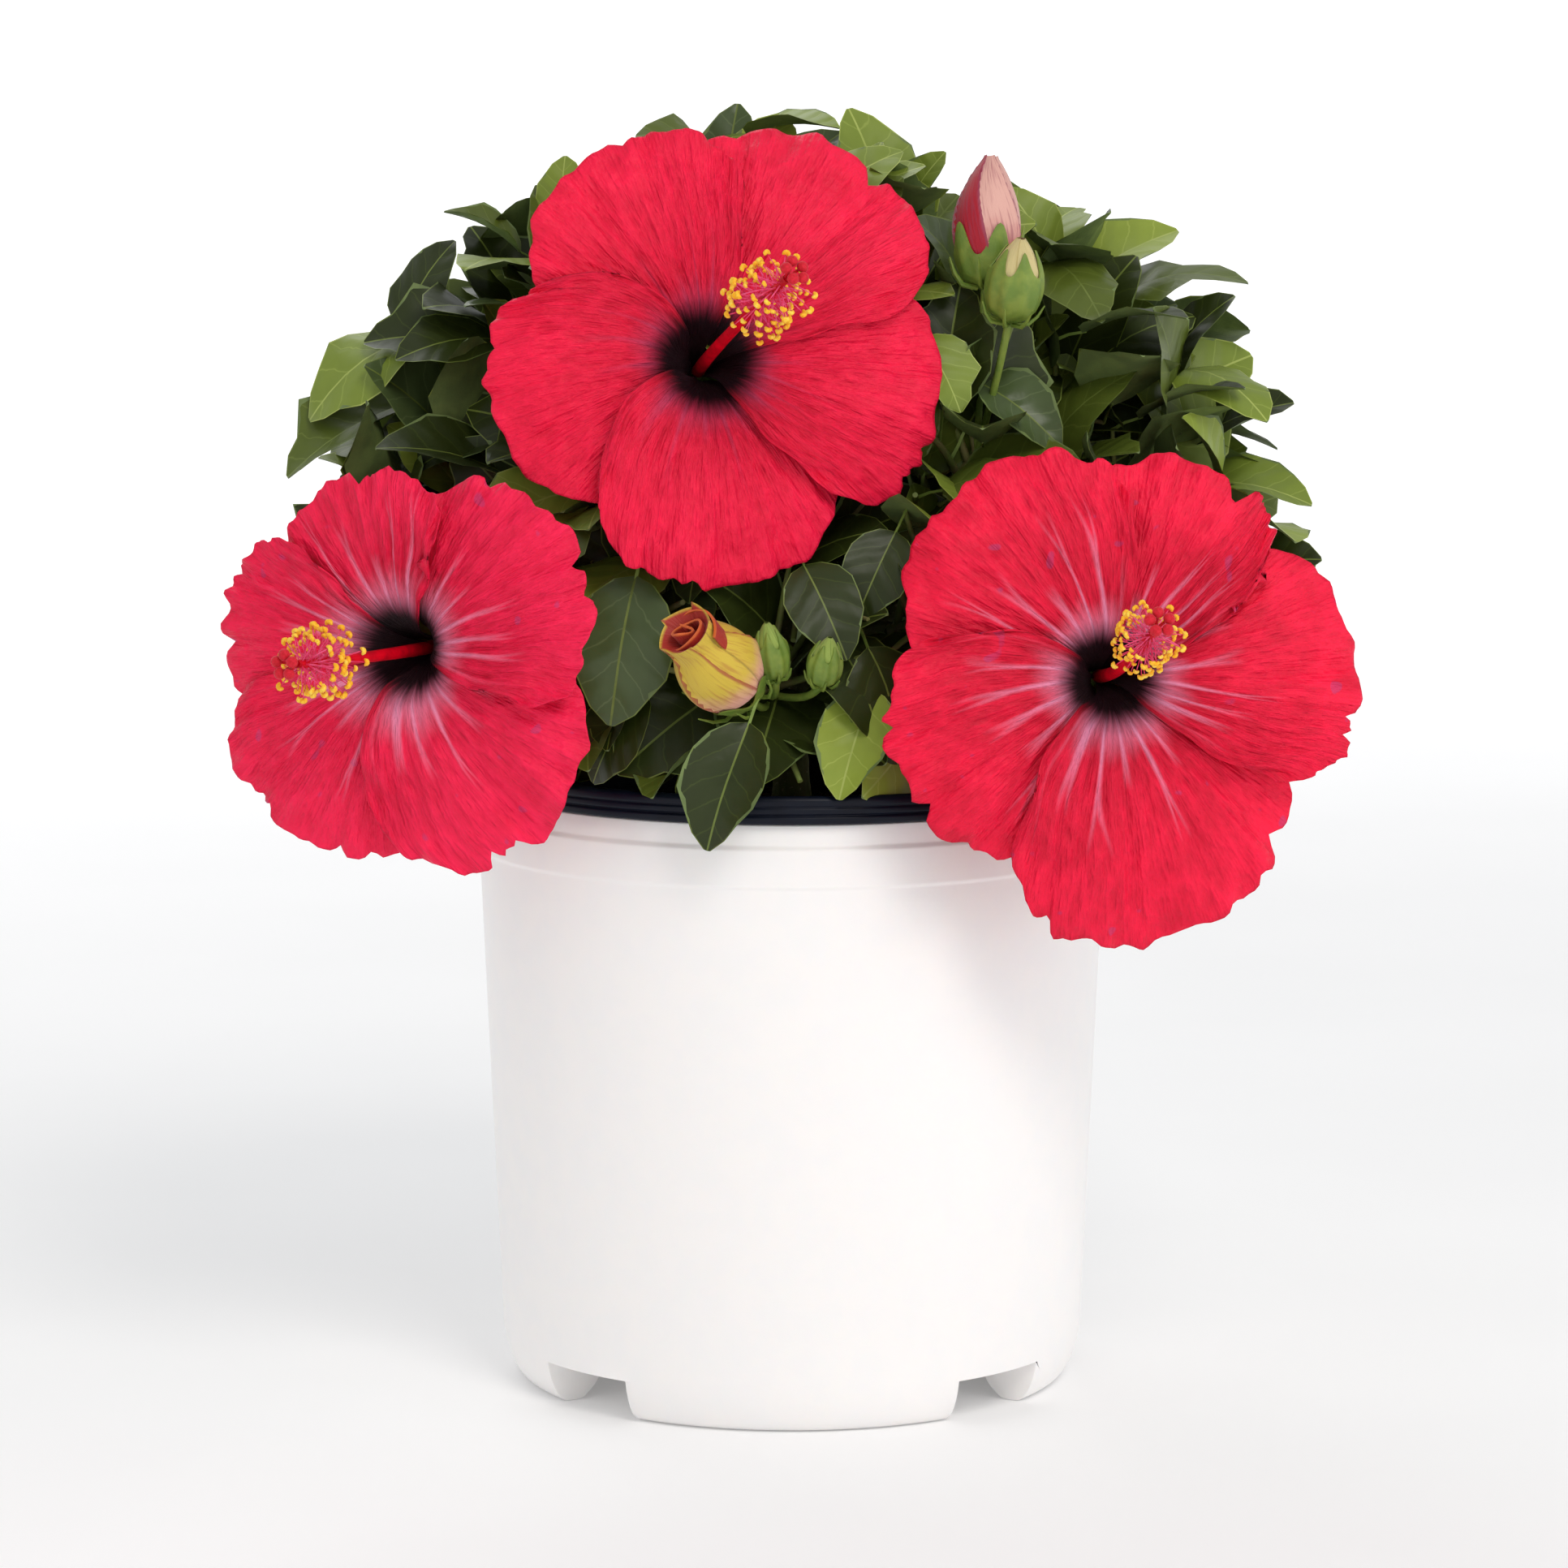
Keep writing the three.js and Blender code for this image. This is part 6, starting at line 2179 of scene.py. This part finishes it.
def table_of_blooms() -> list[Bloom]:
    """The three open blooms, whose petals differ in their crimson and their streaks.

    Returns:
        The blooms.
    """
    # Each lit tone is the painted highlight on the crinkles' ridges, and each deep tone is their painted
    # shade.
    coral = PetalFinish("petal_coral_crimson", lit="#fc1a48", deep="#ca0a2e", specks=0.0, halo="#a8476e",
                        halo_strength=0.4, streak_strength=0.42, streak_reach=42.0, eye_radius=19.0)
    streaked = PetalFinish("petal_streaked_crimson", lit="#ff2052", deep="#cc0a34", halo_radius=33.0)
    bright = PetalFinish("petal_bright_streaked", lit="#fc1844", deep="#bc0628", streak_reach=52.0)
    return [
        Bloom("bloom_top", Vector((-30, -95, 382)), 7, 13, [
            Petal(108, 82, 32, 14), Petal(188, 77, 38, 42), Petal(268, 81, 38, 46), Petal(340, 84, 30, 12),
            Petal(44, 92, 32, 4)], Vector((-2, -152, 412)), "top", 0.12, 1, coral, 0.8),
        Bloom("bloom_left", Vector((-137, -107, 280)), -23, 1, [
            Petal(100, 65, 34, 12, 2.4), Petal(168, 70, 36, 4), Petal(232, 78, 40, 0), Petal(308, 82, 42, 32),
            Petal(24, 78, 40, 4, 2.6)], Vector((-168, -159, 282)), "left_low", 0.7, 2, streaked, 1.2),
        Bloom("bloom_right", Vector((110, -127, 274)), 6, 6, [
            Petal(125, 84, 42, 12), Petal(203, 82, 38, 28), Petal(278, 94, 37, 28),
            Petal(352, 89, 25, 14, 2.3), Petal(52, 81, 20, 18, 2.4)],
            Vector((121, -182, 296)), "right_low", 0.62, 4, bright, 1.35, 0.86),
    ]


def table_of_buds() -> list[Bud]:
    """The opening yellow and pink buds, and the green and the faded ones.

    Returns:
        The buds.
    """
    yellow = BudFinish("bud_yellow_petal")
    pink = BudFinish("bud_dusty_pink_petal", low="#b3102e", high="#d6a397", panel="#a50d26", lip="#8c3a52",
                     inside="#b01638", veins=0.55, which=3.0)
    green = BudFinish("bud_green_petal", low="#8a9a3e", high="#c9b982", panel="#b9b06a", lip="#a58f52",
                      inside="#c9a67c", veins=0.3)
    closed = BudFinish("bud_closed_petal", low="#6f8a34", high="#8fa34a", panel="#8fa34a", lip="#5f7a2c",
                       inside="#8fa34a", veins=0.2)
    faded = BudFinish("bud_faded_petal", low="#e6b9ae", high="#efd0c8", panel="#e9c2b8", lip="#d9a8a0",
                      inside="#e0b0a6", veins=0.2)
    return [Bud(name, mass, Vector(base), Vector(tip), *form) for name, mass, base, tip, *form in (
        ("bud_yellow", "front_low", (-17, -110, 266), (-37, -135, 291), 15, 0.3, 0.16, 0.66, yellow),
        ("bud_small_left", "front_low", (-6, -113, 272), (-9, -120, 292), 5.5, 0.95, 0.1, 0.12, closed),
        ("bud_small_right", "front_low", (10, -114, 270), (13, -121, 287), 5.5, 0.95, 0.1, 0.12, closed),
        ("bud_pink", "shoulder_right", (68, -66, 406), (70, -62, 451), 12, 0.5, 0.2, 0.19, pink),
        ("bud_green", "shoulder_right", (76, -77, 394), (80, -84, 423), 9.5, 0.92, 0.1, 0.16, green),
        ("bud_faded", "right_low", (122, -46, 322), (135, -56, 340), 8.5, 0.25, 0.12, 0.3, faded))]


def main() -> None:
    """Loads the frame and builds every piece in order."""
    logging.basicConfig(level=logging.INFO, format="%(name)s %(message)s")
    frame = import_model()
    LOG.info("%d nodes in the frame", len(frame["nodes"]))
    studio, habit = Studio(), Habit()
    studio.build()
    NurseryPot().build()
    masses, blooms, buds = table_of_masses(), table_of_blooms(), table_of_buds()
    limbs = Limbs(habit, masses, blooms)
    limbs.build(BARK.made())
    parts = BloomParts()
    for bloom in blooms:
        bloom.build(limbs, parts)
    parts.scatter.done()
    sky = [(-122.0, 362.0, 6.0), (-12.0, 456.0, 5.0), (102.0, 350.0, 5.0)]
    crown = Crown(habit, masses, table_of_leaders(), limbs, blooms, buds, studio.eye, sky)
    for bud in buds:
        bud.build(crown.stem(next(mass for mass in masses if mass.name == bud.mass)), parts.green)
    for mass in masses:
        Foliage(crown, mass).build()
    crown.scatter.done()
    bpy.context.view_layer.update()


if __name__ == "__main__":
    main()
